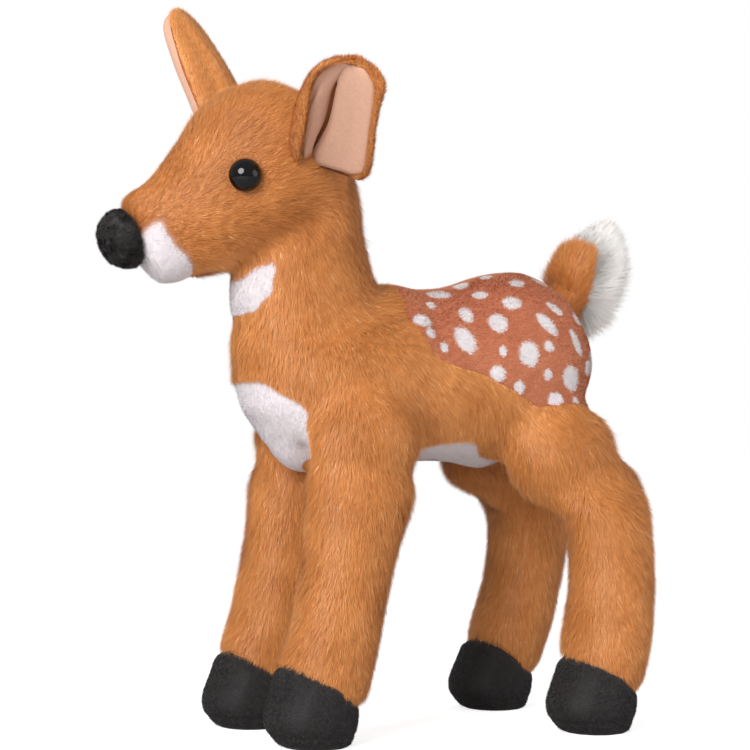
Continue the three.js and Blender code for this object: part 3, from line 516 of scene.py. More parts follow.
def seamPlaces(points):
    # where to look each point up
    place = (points - origin) / mm
    out, back, height = place.T
    shift = np.zeros_like(points)
    for axis, amount, lengthwise, upright in seamShifts:
        shift[:, axis] += amount * within(back, *lengthwise) * within(height, *upright)
    onMuzzle = (1 - ease(back, -95, -80)) * ease(height, 180, 185)
    shift[:, 1] += 2.5 * np.exp(-((height - 193) / 5) ** 2) * onMuzzle
    # the throat's patch is wider than the solid's, and the belly's white rises in front of the thighs
    onThroat = (1 - ease(back, -60, -52)) * within(height, 160, 168, 190, 197)
    shift[:, 0] -= 2.5 * np.clip(out / 2.5, -1, 1) * onThroat
    shift[:, 2] -= 9.5 * np.exp(-((back - 14) / 8) ** 2) * (1 - ease(height, 116, 126))
    # the thighs' fur reaches further under the belly
    beside = np.sign(out) * ease(np.abs(out), 11, 17)
    onThigh = ease(back + 0.45 * (height - 117), 17, 25) * (1 - ease(back, 40, 50))
    shift[:, 0] += 11 * beside * onThigh * (1 - ease(height, 116, 124))
    # the boots' upper edge falls from heel to toe
    beforeMiddle = np.where(back > 20, hoofMiddles[1], hoofMiddles[0]) / mm - back
    toFront = ease(beforeMiddle, -hoofLine["half"], hoofLine["half"])
    shift[:, 2] -= (hoofLine["slope"] * toFront - hoofLine["lift"]) * (1 - ease(height, *hoofLine["fades"]))
    # the white of the chest narrows to a point between the legs: its places are looked up above them
    looked = place + shift
    onChest = (back < chestPoint["behind"]) & (height > chestPoint["from"]) & (height < chestPoint["top"])
    narrow = np.clip((height - chestPoint["tip"]) / (chestPoint["top"] - chestPoint["tip"]), 0.03, 1)
    looked[onChest, 0] = np.clip(out / narrow, -chestPoint["widest"], chestPoint["widest"])[onChest]
    looked[onChest, 1:] = chestPoint["lookUp"]
    return origin + looked * mm


def clothAt(points):
    return np.array([clothNode[nearest.find_nearest(point)[2]] for point in seamPlaces(points).tolist()])


def fabrics(points, faces, rounds):
    found = clothAt(points)
    shares = np.stack([kinds[found] == kind for kind in ("fur", "saddle", "white", "boot")], 1).astype(float)
    return found, relaxed(shares, faces, [0.6] * rounds)


# Where the stuffing pushes the cloth out further, or less far: rows of the place on the left side (out,
# back, up), the reach and the amount, all in mm. A row with a negative place counts on the right side alone.
fullness = np.array([
    # haunches and hocks
    [33, 88, 112, 16, 4.0], [32, 95, 94, 12, 1.0], [30, 76, 145, 18, 1.4], [12, 78, 150, 18, 2.2],
    [36, 112, 70, 24, -1.2], [15, 64, 40, 18, 3.0],
    # thighs and the belly before them
    [30, 34, 96, 12, -2.5], [31, 47, 92, 14, -2.5], [-26, 31, 104, 13, 6.0], [-28, 24, 98, 10, -2.0],
    [0, 34, 104, 12, 5.0], [0, 12, 98, 20, 0.8],
    # back, nape and breast
    [0, 45, 187, 30, 2.2], [0, -16, 186, 18, 3.4], [0, -24, 212, 14, 0.6], [0, -86, 160, 30, 1.2],
    # shoulders and the fork between the front legs
    [31, -15, 97, 18, 1.6], [31, -62, 110, 14, 2.8], [0, -50, 111, 12, 7.0],
    # forehead, bridge, chin and throat
    [10, -70, 262, 24, 1.8], [14, -90, 246, 12, 2.4], [0, -110, 240, 16, 3.6], [0, -134, 216, 9, 8.5],
    [0, -96, 184, 12, -1.6], [0, -82, 180, 14, 2.6]])
# The same where the legs widen above the boots
ankles = np.array([[27, -70, 32, 13, 3.2], [27, 42, 34, 13, 3.2]])
# The same straight forward, for chin and bridge beside the nose
forward = np.array([[0, -127, 188, 10, 5.0], [9, -127, 188, 10, 5.0], [0, -128, 215, 9, 3.5]])


def bells(points, rows):
    # the sum over the rows of amount * exp(-(distance / reach)^2), in metres
    place = (points - origin) / mm
    paired = np.abs(place * [1, 0, 0]) + place * [0, 1, 1]
    total = np.zeros(len(points))
    for *middle, reach, amount in rows:
        gone = (place if middle[0] < 0 else paired) - middle
        total += amount * np.exp(-(gone ** 2).sum(1) / reach ** 2)
    return total * mm


def plumpness(points):
    # a bell for each row, a little more all along the legs, and less at the soles inside the boots
    height = (points - origin)[:, 2] / mm
    legs = 1.3 * (1 - ease(height, 88, 112)) + 0.9 * within(height, 5, 20, 25, 85)
    soles = 3.7 * (1 - ease(height, 7, 15))
    return (legs - soles) * mm + bells(points, fullness) + bells(points, ankles)


pileDepth = {"furShare": 0.30, "fur": 0.1 * mm, "saddle": 0.9 * mm, "white": 0.6 * mm, "boot": 1.6 * mm}


def skinDepth(points, shares):
    # how far the skin lies under the toy's outline: the pile's height less the plumpness
    fur = pileDepth["furShare"] * hairLength(points) + pileDepth["fur"]
    depths = [fur, 0 * fur + pileDepth["saddle"], 0 * fur + pileDepth["white"], fur + pileDepth["boot"]]
    return (np.stack(depths, 1) * shares).sum(1, keepdims=True) - plumpness(points)[:, None]


print("moulding the skin")
skin, skinFaces = moulded("skin", fabricNodes + stuffing, skinLook["voxel"], skinLook["grow"])
skin = relaxed(skin, skinFaces, skinLook["smooth"])
depth = skinDepth(skin, fabrics(skin, skinFaces, 3)[1])
for step in range(skinLook["steps"]):
    sunk = (depth + skinLook["spare"] + skinLook["grow"]) / skinLook["steps"]
    skin = relaxed(skin - sunk * vertexNormals(skin, skinFaces), skinFaces, [0.3, -0.25])
skin = swelled(skin, skinFaces, skinLook)
skin, skinFaces = subdivided(skin, skinFaces)
skin[:, 1] -= bells(skin, forward)
skinNormals = relaxed(vertexNormals(skin, skinFaces), skinFaces, [0.5] * 3)
nodeAt, share = fabrics(skin + skinLook["pileTop"] * skinNormals, skinFaces, 6)
nearPatch = relaxed(share, skinFaces, [0.6] * 30)[:, 1:3].max(1)
print("skin has", len(skinFaces), "faces and its fabrics")


# The saddle's spots

# Each spot: its place on the left side in mm (out, back, up), its size along and across, and its turn
spots = np.array([
    [28.9, -8.5, 167.2, 8.0, 6.0, 0], [25.0, 13.1, 169.9, 6.0, 8.6, 0], [31.7, 9.5, 159.0, 8.4, 12.0, 20],
    [29.3, 25.5, 166.3, 8.0, 9.0, 15], [24.6, 34.1, 174.8, 8.5, 7.0, 10], [30.7, 47.6, 166.2, 6.0, 12.0, 40],
    [26.0, 53.5, 173.0, 4.2, 8.0, 55], [34.5, 37.0, 153.3, 9.3, 10.5, 0], [33.7, 25.3, 154.4, 3.2, 4.4, 0],
    [34.6, 22.5, 145.1, 7.0, 6.6, 0], [34.2, 32.5, 139.5, 4.8, 5.8, 0], [34.7, 45.7, 144.9, 4.0, 4.6, 0],
    [33.8, 46.7, 156.7, 4.7, 4.6, 0], [30.6, 61.4, 158.7, 4.0, 11.5, 22], [32.0, 58.1, 143.4, 8.2, 11.0, 28],
    [33.5, 50.0, 134.5, 7.4, 6.6, 0], [32.5, 60.0, 134.0, 3.4, 3.4, 0], [11.6, 6.8, 178.1, 10.5, 8.0, 0],
    [19.5, -0.5, 173.5, 3.8, 5.0, 0], [30.2, -6.0, 161.2, 4.6, 5.0, 0], [6.0, 20.0, 179.9, 7.0, 6.0, 30],
    [17.0, 23.0, 177.2, 6.0, 5.4, 0], [15.0, 41.0, 181.5, 7.0, 6.0, 15], [33.0, -0.9, 155.5, 3.8, 4.4, 0],
    [11.0, 54.0, 182.0, 6.4, 5.0, -20], [21.0, 66.0, 168.0, 4.4, 5.6, 0], [5.0, 32.0, 182.0, 5.0, 5.4, 0],
    [14.0, 68.0, 176.0, 5.0, 4.4, 0], [28.0, 69.0, 148.0, 5.6, 6.4, 0], [20.0, 73.0, 152.0, 6.0, 6.0, 0]])
farShift = np.array([0, 2.5, -1.5])


def fromSpot(points):
    # how far each point is from the nearest spot's middle, as a share of that ellipse's radius there
    least = np.full(len(points), 9.0)
    for side in (1, -1):
        for *place, wide, high, turn in spots:
            middle = np.array(place) + (farShift if side < 0 else 0)
            gone = (points - origin) / mm * [side, 1, 1] - middle
            cos, sin = math.cos(math.radians(turn)), math.sin(math.radians(turn))
            outward = unit(np.array([place[0], 0, max(place[2] - 150, 0)]))
            rise = gone @ np.cross([0, -1, 0], outward)
            along = gone[:, 1] * cos + rise * sin
            across = rise * cos - gone[:, 1] * sin
            size = np.hypot(along / (0.51 * wide), across / (0.51 * high))
            least = np.where(np.abs(gone @ outward) < 6, np.minimum(least, size), least)
    return least


# Bodies: the head's share lies above the neck's seam, where the head turns, and each leg's below the belly,
# where the leg bends

legCut = {"height": 103 * mm, "full": 80 * mm}
neckStart = turnPivot - turnAxis * neckSeam["twistBelow"]
legNames = {(1, -1): "front_left", (-1, -1): "front_right", (1, 1): "hind_left", (-1, 1): "hind_right"}
legMiddle = origin[1] + 20 * mm


def bodyNumbers(points):
    # 0 torso, 1 head, 2 to 5 the legs in the order of legNames
    number = np.where((points - neckStart) @ turnAxis > 0, 1, 0)
    below = points[:, 2] < legCut["height"]
    sideways, lengthwise = points[:, 0] < origin[0], points[:, 1] > legMiddle
    return np.where(below, 2 + sideways + 2 * lengthwise, number)


bodyNames = ["torso", "head", "front_left_leg", "front_right_leg", "hind_left_leg", "hind_right_leg"]


def join(piece, body):
    # torso pieces hang from the torso's body; head and leg pieces only have their places written into their
    # meshes
    if body == "torso":
        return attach(piece, "torso")
    if body == "head":
        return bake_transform(piece)
    top = Vector(joints[body + "_swing"]["pos_m"])
    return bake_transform(piece)


def cutSkin(body):
    # the part of the skin that belongs to a body, with each cut closed by a flat cap
    part = bmesh.new()
    part.from_mesh(meshOf(body, skin, skinFaces))
    painted = [part.verts.layers.float.new(name) for name in ("saddle", "white")]
    part.verts.ensure_lookup_table()
    for k, layer in enumerate(painted):
        for vertex, value in zip(part.verts, share[:, k + 1].tolist()):
            vertex[layer] = value
    floor = (Vector((0, 0, legCut["height"])), Vector((0, 0, 1)))
    neck = (Vector(neckStart), Vector(turnAxis))
    cuts = {"torso": [(*floor, -1), (*neck, 1)], "head": [(*neck, -1)]}.get(body, [(*floor, 1)])
    for place, way, side in cuts:
        bmesh.ops.bisect_plane(part, geom=part.verts[:] + part.edges[:] + part.faces[:], plane_co=place,
                               plane_no=way, clear_outer=side > 0, clear_inner=side < 0)
    if body in bodyNames[2:]:
        number = bodyNames.index(body)
        found = bodyNumbers(np.array([v.co for v in part.verts]) - 0.1 * mm * upward)
        bmesh.ops.delete(part, geom=[v for v, n in zip(part.verts, found) if n != number], context="VERTS")
    closed = bmesh.ops.holes_fill(part, edges=[e for e in part.edges if e.is_boundary], sides=0)
    bmesh.ops.triangulate(part, faces=closed["faces"])
    bmesh.ops.recalc_face_normals(part, faces=part.faces)
    mesh = bpy.data.meshes.new(body + "_skin")
    part.to_mesh(mesh)
    part.free()
    mesh.shade_smooth()
    return newObject(body + "_skin", mesh, backing)


inSpot = (1 - ease(fromSpot(skin), 0.75, 1.0)) * (share[:, 1] > 0.5)
share[:, 2] = np.maximum(share[:, 2], inSpot)
skinStandsFor = {"torso": ["body_stuffing"], "head": ["head_stuffing"]}
for body in bodyNames:
    piece = cutSkin(body)
    join(piece, body)
    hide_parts(*skinStandsFor.get(body, ["leg_stuffing_" + body[:-4]]))
print("skins cut")


# Pile on the skin

furComb = {"rows": 1, "lift": 19, "liftScatter": 7, "droop": 0, "scatter": 10, "tuft": 3.4 * mm,
           "tuftSeed": 11, "pull": 0.36 * mm, "twist": 16, "width": 0.27 * mm, "sink": 0.3 * mm,
           "smooth": 0.76, "glint": 0.6}
shortComb = {**furComb, "lift": 52, "liftScatter": 8, "scatter": 35, "tuft": 3 * mm, "pull": 0.1 * mm,
             "twist": 30, "width": 0.36 * mm, "smooth": 0.93, "glint": 0.15}
whiteComb = {**shortComb, "lift": 36, "scatter": 30, "pull": 0.03 * mm, "smooth": 0.97, "glint": 0.05}
perArea = 13 / mm ** 2
thin = 1
# The fur round the eyes is bare, then short, and it is clipped where it meets the patches and the boots
clipped = {"bareEye": 6.6 * mm, "atEyes": 0.30, "eyeFrom": 7 * mm, "eyeTo": 14 * mm, "atPatches": 0.62,
           "atBoots": 0.2}
eyeMiddles = [np.array(sum(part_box(node), Vector()) / 2) for node in ("eye_left", "eye_right")]


def nearEyes(points):
    return np.min([np.linalg.norm(points - middle, axis=1) for middle in eyeMiddles], axis=0)


def toneOf(points, seed, base=0.45, spread=0.10, paintedHeadShade=0.0):
    # each hair's place on its pile's ramp of tones: scattered, waving broadly and finely, lower high up on the
    # neck and head as painted shade, and a few much lighter: painted glints on the fur, pale stray fibres on
    # the black plush
    rng = np.random.default_rng(seed)
    broad, _ = waves(points, 22 * mm, 31)
    fine, _ = waves(points, 3.2 * mm, 32)
    tone = base + spread * rng.normal(size=len(points)) + 0.04 * broad + 0.06 * fine
    # painted shade: the tone falls high up, on the neck and head
    tone = tone - paintedHeadShade * ease(points[:, 2], 175 * mm, 205 * mm)
    # painted glints: about one hair in thirty much lighter, which on the black plush are pale stray fibres
    return np.clip(tone + 0.42 * (rng.uniform(size=len(points)) < 0.03), 0, 1)


rng = np.random.default_rng(3)
roots, facing, read, corner = scatter(skin, skinFaces, skinNormals, perArea * thin, rng)
kind = read(share).argmax(1)
owner = bodyNumbers(roots)
# the legs are fur all round, down to their boots
kind = np.where((owner > 1) & (kind != 3), 0, kind)
away = nearEyes(roots)
bare = (kind != 0) | (away < clipped["bareEye"])
fromEyes = ease(away, clipped["eyeFrom"], clipped["eyeTo"])
atPatches = ease(read(nearPatch), 0.02, 0.45)
atBoots = 1 - ease(roots[:, 2], 28 * mm, 45 * mm)
lengths = hairLength(roots) * (clipped["atEyes"] + (1 - clipped["atEyes"]) * fromEyes)
lengths = lengths * (1 - clipped["atPatches"] * atPatches) * (1 - clipped["atBoots"] * atBoots)
flow = flowOf(roots)
tone = toneOf(roots, 21, paintedHeadShade=0.14)
sideOf = roots[:, 0] > origin[0]
onGusset = np.array(nodeNames)[nodeAt[corner]] == "forehead_gusset"
furPieces = {
    "side_fur_left": ("torso", (owner == 0) & sideOf, ["side_panel_left"]),
    "side_fur_right": ("torso", (owner == 0) & ~sideOf, ["side_panel_right"]),
    "cheek_fur_left": ("head", (owner == 1) & sideOf & ~onGusset, ["cheek_left"]),
    "cheek_fur_right": ("head", (owner == 1) & ~sideOf & ~onGusset, ["cheek_right"]),
    "forehead_fur": ("head", (owner == 1) & onGusset, ["forehead_gusset"]),
}
for number, leg in enumerate(legNames.values()):
    furPieces["leg_fur_" + leg] = (leg + "_leg", owner == 2 + number, ["leg_" + leg])
for index, (name, (body, mask, nodes)) in enumerate(furPieces.items()):
    grown = picked(mask & ~bare, roots, facing, flow, tone, lengths)
    piece = hairs(name, furComb, furPile, 100 + index, *grown)
    join(piece, body)
    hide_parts(*nodes)
print("fur combed")


# Short pile: the spotted saddle and the white patches

rng = np.random.default_rng(4)
patch = share[skinFaces][:, :, 1:3].max((1, 2)) > 0.2
roots, facing, read, corner = scatter(skin, skinFaces[patch], skinNormals, perArea * thin, rng)
kind = read(share).argmax(1)
owner = bodyNumbers(roots)
onThroat = np.array(nodeNames)[nodeAt[corner]] == "throat_patch"
whiteHead = (kind == 2) & (owner == 1)
flow = flowOf(roots)
shortPieces = {
    "saddle_pile": ("torso", kind == 1, "back_saddle", 1.4 * mm),
    "belly_pile": ("torso", (kind == 2) & (owner == 0), "belly_panel", 1.5 * mm),
    "throat_pile": ("head", whiteHead & onThroat, "throat_patch", 1.7 * mm),
    "muzzle_pile": ("head", whiteHead & ~onThroat, "muzzle_panel", 1.5 * mm),
}
for index, (name, (body, chosen, node, length)) in enumerate(shortPieces.items()):
    tone = toneOf(roots[chosen], 41 + index, 0.5, 0.12)
    comb, material, slot = whiteComb, whitePile, "white_plush"
    if name == "saddle_pile":
        comb, material, slot = shortComb, saddlePile, "saddle_plush"
        ragged = 1 + 0.04 * waves(roots[chosen], 2.2 * mm, 51)[0] + 0.07 * rng.normal(size=chosen.sum())
        tone = np.where(fromSpot(roots[chosen]) < ragged, 0.55 + 0.43 * tone, 0.45 * tone)
    piece = hairs(name, comb, material, 200 + index, *picked(chosen, roots, facing, flow), tone, length)
    join(piece, body)
    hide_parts(node)
print("short pile combed")


# Boots: stuffed black plush, each with its sole

bootLook = {"voxel": 1.4 * mm, "inset": 0.5 * mm, "pile": 1.2 * mm, "perArea": 12 / mm ** 2, "seam": 5 * mm,
            "groove": 0.3 * mm, "grooveWidth": 0.9 * mm, "round": 14 * mm, "toe": 0.42, "heel": 0.16,
            "longer": 0.05, "shaft": 12 * mm, "overlap": 1.5 * mm, "hem": 2.5 * mm, "sunk": 1.6 * mm,
            "pileOut": 2 * mm, "pileUp": 0.8 * mm, "pileFrom": 1.2 * mm}
bootComb = {**shortComb, "lift": 50, "width": 0.28 * mm, "scatter": 40}


def bootForm(leg):
    # the cloth of one boot: rounded below and a little longer at the toe, its hem sunk under the leg's fur,
    # with a groove where the sole is sewn on
    nodes = [start + leg for start in ("hoof_", "sole_", "leg_", "leg_stuffing_")]
    places, faces = moulded("boot", nodes, bootLook["voxel"], skinLook["grow"])
    low, high = (np.array(corner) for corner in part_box("hoof_" + leg))
    shod = kinds[clothAt(places - bootLook["overlap"] * upward)] == "boot"
    shod &= places[:, 2] < high[2] + bootLook["shaft"]
    used, number = np.unique(faces[shod[faces].all(1)], return_inverse=True)
    places, faces = places[used], number.reshape(-1, 4)
    places = relaxed(places, faces, [0.5, -0.4] * 12)
    middle = (low + high) / 2
    atToe = places[:, 1] < middle[1]
    under = np.clip(1 - places[:, 2] / bootLook["round"], 0, 1) ** 2.2
    longer = bootLook["longer"] * (1 - ease(places[:, 2], 14 * mm, 30 * mm))
    drawn = 1 - under * np.where(atToe, bootLook["toe"], bootLook["heel"]) + np.where(atToe, longer, 0)
    places[:, 0] = middle[0] + (places[:, 0] - middle[0]) * (1 - bootLook["heel"] * under)
    places[:, 1] = middle[1] + (places[:, 1] - middle[1]) * drawn
    normals = relaxed(vertexNormals(places, faces), faces, [0.5] * 8)
    above = kinds[clothAt(places + bootLook["hem"] * upward)] != "boot"
    sunk = relaxed(above[:, None].astype(float), faces, [0.5] * 3)[:, 0] * bootLook["sunk"]
    places = places + normals * (bells(places, ankles) - sunk)[:, None]
    seam = np.exp(-((places[:, 2] - bootLook["seam"]) / bootLook["grooveWidth"]) ** 2)
    inset = (bootLook["inset"] + seam * bootLook["groove"]) * ease(places[:, 2], 0.2 * mm, 3 * mm)
    return places - normals * inset[:, None], faces, normals


for index, leg in enumerate(legNames.values()):
    body = leg + "_leg"
    places, faces, normals = bootForm(leg)
    piece = newObject("boot_" + leg, meshOf("boot_" + leg, places, faces), bootCloth)
    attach(piece, body)
    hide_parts("hoof_" + leg, "sole_" + leg)
    rng = np.random.default_rng(60 + index)
    roots, facing, read, corner = scatter(places, faces, normals, bootLook["perArea"] * thin, rng)
    raised = roots + bootLook["pileOut"] * facing + bootLook["pileUp"] * upward
    chosen = (roots[:, 2] > bootLook["pileFrom"]) & (kinds[clothAt(raised)] == "boot")
    roots, facing = picked(chosen, roots, facing)
    pile = hairs("boot_pile_" + leg, bootComb, blackPile, 80 + index, roots, facing,
                 np.array([0.0, -0.2, -1.0]), toneOf(roots, 70 + index, 0.45, 0.2), bootLook["pile"])
    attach(pile, body)
print("boots made")


# Ears: a cupped leaf of fur, with a velour lining puffed inside its rim and folded beside the front edge

earLook = {"back": 1.9 * mm, "front": 0.7 * mm, "pad": 1.5 * mm, "roll": 2.0 * mm, "crease": 3.6 * mm,
           "rows": 40, "columns": 34, "hair": 3.4 * mm, "perArea": 14 / mm ** 2, "lining": 2.5 * mm}
# Each ear's length and half width, how far it bends forward, its shift and lean to the rear, how much of
# its rim at the front is bare, how square its tip is, and its direction
earSides = {
    "left": {"length": 58.2 * mm, "halfWidth": 16.6 * mm, "bend": 0.0, "shift": -1.2 * mm, "lean": 0.0,
             "edge": 0.0, "tip": 10, "along": (0.771, -0.210, 0.601)},
    "right": {"length": 62.5 * mm, "halfWidth": 20.2 * mm, "bend": 8 * mm, "shift": 8.5 * mm, "lean": -7 * mm,
              "edge": 0.17, "tip": 4, "along": (-0.250, -0.230, 0.940)}}
# Rows: along the ear, half width, shift to the rear in mm, depth of the fold
earRows = [[-0.06, 0.48, 0.8, 1.0], [0.0, 0.69, 1.3, 1.0], [0.06, 0.84, 1.4, 1.0], [0.16, 0.93, 0.8, 0.95],
           [0.34, 0.97, -0.4, 0.9], [0.54, 0.96, -1.0, 0.78], [0.76, 0.92, 0.2, 0.50], [1.0, 1.0, 3.2, 0.12]]
# The section from the front edge to the rear: share of the way, then place across and rise in half widths
foldedEar = [[0, -0.70, 0.50], [0.10, -0.88, 0.30], [0.22, -0.84, 0.06], [0.34, -0.60, -0.04],
             [0.43, -0.42, -0.26], [0.52, -0.26, 0.00], [0.64, 0.08, 0.07], [0.76, 0.42, 0.10],
             [0.88, 0.74, 0.20], [1, 1.0, 0.38]]
openEar = [[0, -1.0, 0.36], [0.10, -0.86, 0.22], [0.22, -0.66, 0.10], [0.34, -0.44, 0.03], [0.43, -0.28, 0.0],
           [0.52, -0.12, 0.0], [0.64, 0.16, 0.02], [0.76, 0.44, 0.08], [0.88, 0.74, 0.19], [1, 1.0, 0.36]]
# Where the fold's crease lies across the ear, for each place along it; foldedEar has it at creaseDrawn
creaseAt = [[-0.06, -0.72], [0, -0.68], [0.10, -0.60], [0.22, -0.40], [0.38, -0.16], [0.55, -0.06],
            [0.72, -0.08], [1.0, -0.10]]
creaseDrawn = -0.42


def earSection(along, across, fold):
    # place across and rise of each point: the open section mixed with the folded one, on which both parts
    # beside the crease are stretched until it lies where creaseAt says
    folded, flat = smoothCurve(foldedEar, across.ravel()), smoothCurve(openEar, across.ravel())
    crease = smoothCurve(creaseAt, along.ravel())[:, 0]
    before = (folded[:, 0] + 1) * (crease + 1) / (creaseDrawn + 1) - 1
    behind = 1 - (1 - folded[:, 0]) * (1 - crease) / (1 - creaseDrawn)
    folded[:, 0] = np.where(folded[:, 0] < creaseDrawn, before, behind)
    return (flat + fold.ravel()[:, None] * (folded - flat)).reshape(*across.shape, 2)


def earSurface(side, along, across, offset):
    # point = root + length * along + the section at across, pushed off along the section's own normal
    look = earSides[side]
    sign = 1 if side == "left" else -1
    root = np.array(joints[side + "_ear_fold"]["pos_m"])
    rear = unit(np.array(joints[side + "_ear_fold"]["axis"]))
    length = np.array(look["along"])
    length = unit(length - rear * (length @ rear))
    front = sign * np.cross(rear, length)
    width, shift, fold = smoothCurve(earRows, along.ravel()).T.reshape(3, *along.shape)
    # the outline closes at the tip as (1 - along^tip)^0.45
    tip = np.maximum(1 - np.clip(along, 0, 1) ** look["tip"], 0) ** 0.45
    half = width * look["halfWidth"] * tip
    ahead, behind = (earSection(along, np.clip(across + step, 0, 1), fold) for step in (0.02, -0.02))
    run = unit(ahead - behind)
    normal = np.stack([-run[..., 1], run[..., 0]], -1)
    spot = earSection(along, across, fold) * half[..., None] + normal * offset[..., None]
    bend = look["bend"] * along[..., None] ** 2
    lean = look["lean"] * np.clip(along, 0, 1)[..., None] ** 3.5
    aside = spot[..., :1] + shift[..., None] * mm + look["shift"] + lean
    upEar = length * (along * look["length"])[..., None]
    return root + upEar + rear * aside + front * (spot[..., 1:] + bend), length, front


def closedForm(name, rings, material):
    # rings of points joined by quads, with a point in the middle of each end ring
    rows, around = rings.shape[:2]
    index = np.arange(rows * around).reshape(rows, around)
    beside = np.roll(index, -1, 1)
    quads = np.stack([index[:-1], beside[:-1], beside[1:], index[1:]], -1).reshape(-1, 4)
    places = np.concatenate([rings.reshape(-1, 3), rings[:1].mean(1), rings[-1:].mean(1)])
    first = np.stack([beside[0], index[0], np.full(around, rows * around)], -1)
    last = np.stack([index[-1], beside[-1], np.full(around, rows * around + 1)], -1)
    volume = (places[quads[:, 0]] * np.cross(places[quads[:, 1]], places[quads[:, 2]])).sum()
    if volume < 0:
        quads, first, last = quads[:, ::-1], first[:, ::-1], last[:, ::-1]
    mesh = bpy.data.meshes.new(name)
    mesh.from_pydata(places.tolist(), [], quads.tolist() + first.tolist() + last.tolist())
    mesh.shade_smooth()
    return newObject(name, mesh, material), places, quads


# The two layers: from where to where along and across, and how much the tip is rounded
earLayers = {"shell": {"span": (-0.04, 1.0), "keep": (0, 1), "taper": 0},
             "lining": {"span": (0.0, 0.96), "keep": (0.08, 0.96), "taper": 0.75}}
# The shell's face under the lining, where no fur grows
covered = {"middle": 0.51, "half": 0.45, "less": 0.02, "to": 0.95}


def rounding(layer, share):
    # the layer's width at a share of its length
    return np.maximum(1 - layer["taper"] * share ** 8, 0.02) ** 0.5


def earPad(side, name, layer, top, bottom, material):
    # an upper and a lower sheet over the section that meet in a rounded edge all round
    rows, columns = earLook["rows"], earLook["columns"]
    start, reach = layer["span"][0], layer["span"][1] - layer["span"][0]
    along = start + reach * np.sin(np.linspace(0.03, 0.985, rows) * math.pi / 2)
    way = (1 - np.cos(np.linspace(0, math.pi, columns))) / 2
    way = np.concatenate([way, way[-2:0:-1]])
    over = np.concatenate([np.ones(columns), -np.ones(columns - 2)])
    along, way = np.meshgrid(along, way, indexing="ij")
    share = (along - start) / reach
    first, last = layer["keep"]
    middle = (first + last) / 2
    atRoot = 1 - 0.5 * layer["taper"] * np.maximum(1 - share / 0.13, 0) ** 2
    across = middle + (first + (last - first) * way - middle) * rounding(layer, share) * atRoot
    edge = np.sqrt(1 - np.clip(np.abs(2 * way - 1), 0, 1) ** 7) * np.clip(1 - share ** 14, 0, 1) ** 0.5
    high, low = top(along, across), bottom
    offset = (high + low) / 2 + over * (high - low) / 2 * edge
    rings, length, front = earSurface(side, along, across, offset)
    piece, places, faces = closedForm(name, rings, material)
    return piece, places, faces, length, front, along.ravel(), across.ravel(), np.tile(over, rows)


velour = clothMaterial("velour", {
    "grain": 700.0, "dark": tint(188, 144, 120), "light": tint(208, 163, 139), "bump": 0.35,
    "depth": 0.3 * mm, "roughness": 0.85, "sheen": 0.35, "sheenTint": tint(255, 226, 205)})
earComb = {**furComb, "lift": 22, "width": 0.28 * mm, "pull": 0.22 * mm, "scatter": 12, "smooth": 0.85}


def shellTop(along, across):
    return earLook["front"] + 0 * along


def liningTop(along, across):
    # the pad's height: a roll at the front and a deep crease behind it, both fading towards the tip
    fade = 1 - ease(along, 0.66, 0.88)
    roll = np.exp(-((across - 0.27) / 0.10) ** 2) * earLook["roll"] * fade
    crease = np.exp(-((across - 0.43) / 0.055) ** 2) * earLook["crease"] * fade
    return earLook["front"] + earLook["pad"] + roll - crease


for side in ("left", "right"):
    body = side + "_ear"
    shell, places, faces, length, front, along, across, over = earPad(
        side, "ear_shell_" + side, earLayers["shell"], shellTop, -earLook["back"], backing)
    normals = vertexNormals(places, faces)
    lining = earLayers["lining"]
    upLining = np.minimum(np.abs(along) / lining["span"][1], 1)
    half = covered["half"] * rounding(lining, upLining) - covered["less"]
    lined = (over > 0) & (np.abs(across - covered["middle"]) < half) & (along < covered["to"])
    furry = np.append(~lined & (across >= earSides[side]["edge"]), [True, True])
    # the bare rim of the right ear is velour like its lining
    shell.data.materials.append(velour)
    smooth = np.append((~furry[faces]).all(1), np.zeros(len(shell.data.polygons) - len(faces), bool))
    shell.data.polygons.foreach_set("material_index", (smooth & (side == "right")).astype(np.int32))
    rng = np.random.default_rng(300 + len(side))
    roots, facing, read, corner = scatter(places, faces, normals, earLook["perArea"] * thin, rng)
    roots, facing = picked(read(furry) > 0.5, roots, facing)
    fur = hairs("ear_fur_" + side, earComb, furPile, 320, roots, facing, length - 0.15 * front,
                toneOf(roots, 310, 0.5), earLook["hair"])
    for piece in (shell, fur):
        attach(piece, body)
    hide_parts("ear_back_" + side)
    pad, *_ = earPad(side, "ear_pad_" + side, lining, liningTop, earLook["front"] - earLook["lining"], velour)
    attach(pad, body)
    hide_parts("ear_lining_" + side)
print("ears made")


# Tail: a plush leaf, tan above and long white hair beneath and at the tip

tailLook = {"voxel": 1.6 * mm, "tanInset": 1.2 * mm, "whiteInset": 5.5 * mm, "tan": 7 * mm, "white": 12.5 * mm,
            "perArea": 10 / mm ** 2, "lean": 33, "seamBack": 77.5 * mm, "seamLean": 0.12,
            "tanTo": 29.5 * mm, "halfWidth": 14 * mm, "spread": 0.3}
tailRoot = np.array(joints["tail_lift"]["pos_m"])
tailAlong = np.array([0, math.sin(math.radians(tailLook["lean"])), math.cos(math.radians(tailLook["lean"]))])


def tailWhite(points):
    # 1 behind the seam across the tail and beyond the end of its tan side
    place = points - origin
    behind = place[:, 1] - tailLook["seamBack"] - tailLook["seamLean"] * (place[:, 2] - 165 * mm)
    beyond = (points - tailRoot) @ tailAlong - tailLook["tanTo"]
    return np.maximum(ease(behind, -1.5 * mm, 1.5 * mm), ease(beyond, -1.5 * mm, 1.5 * mm))


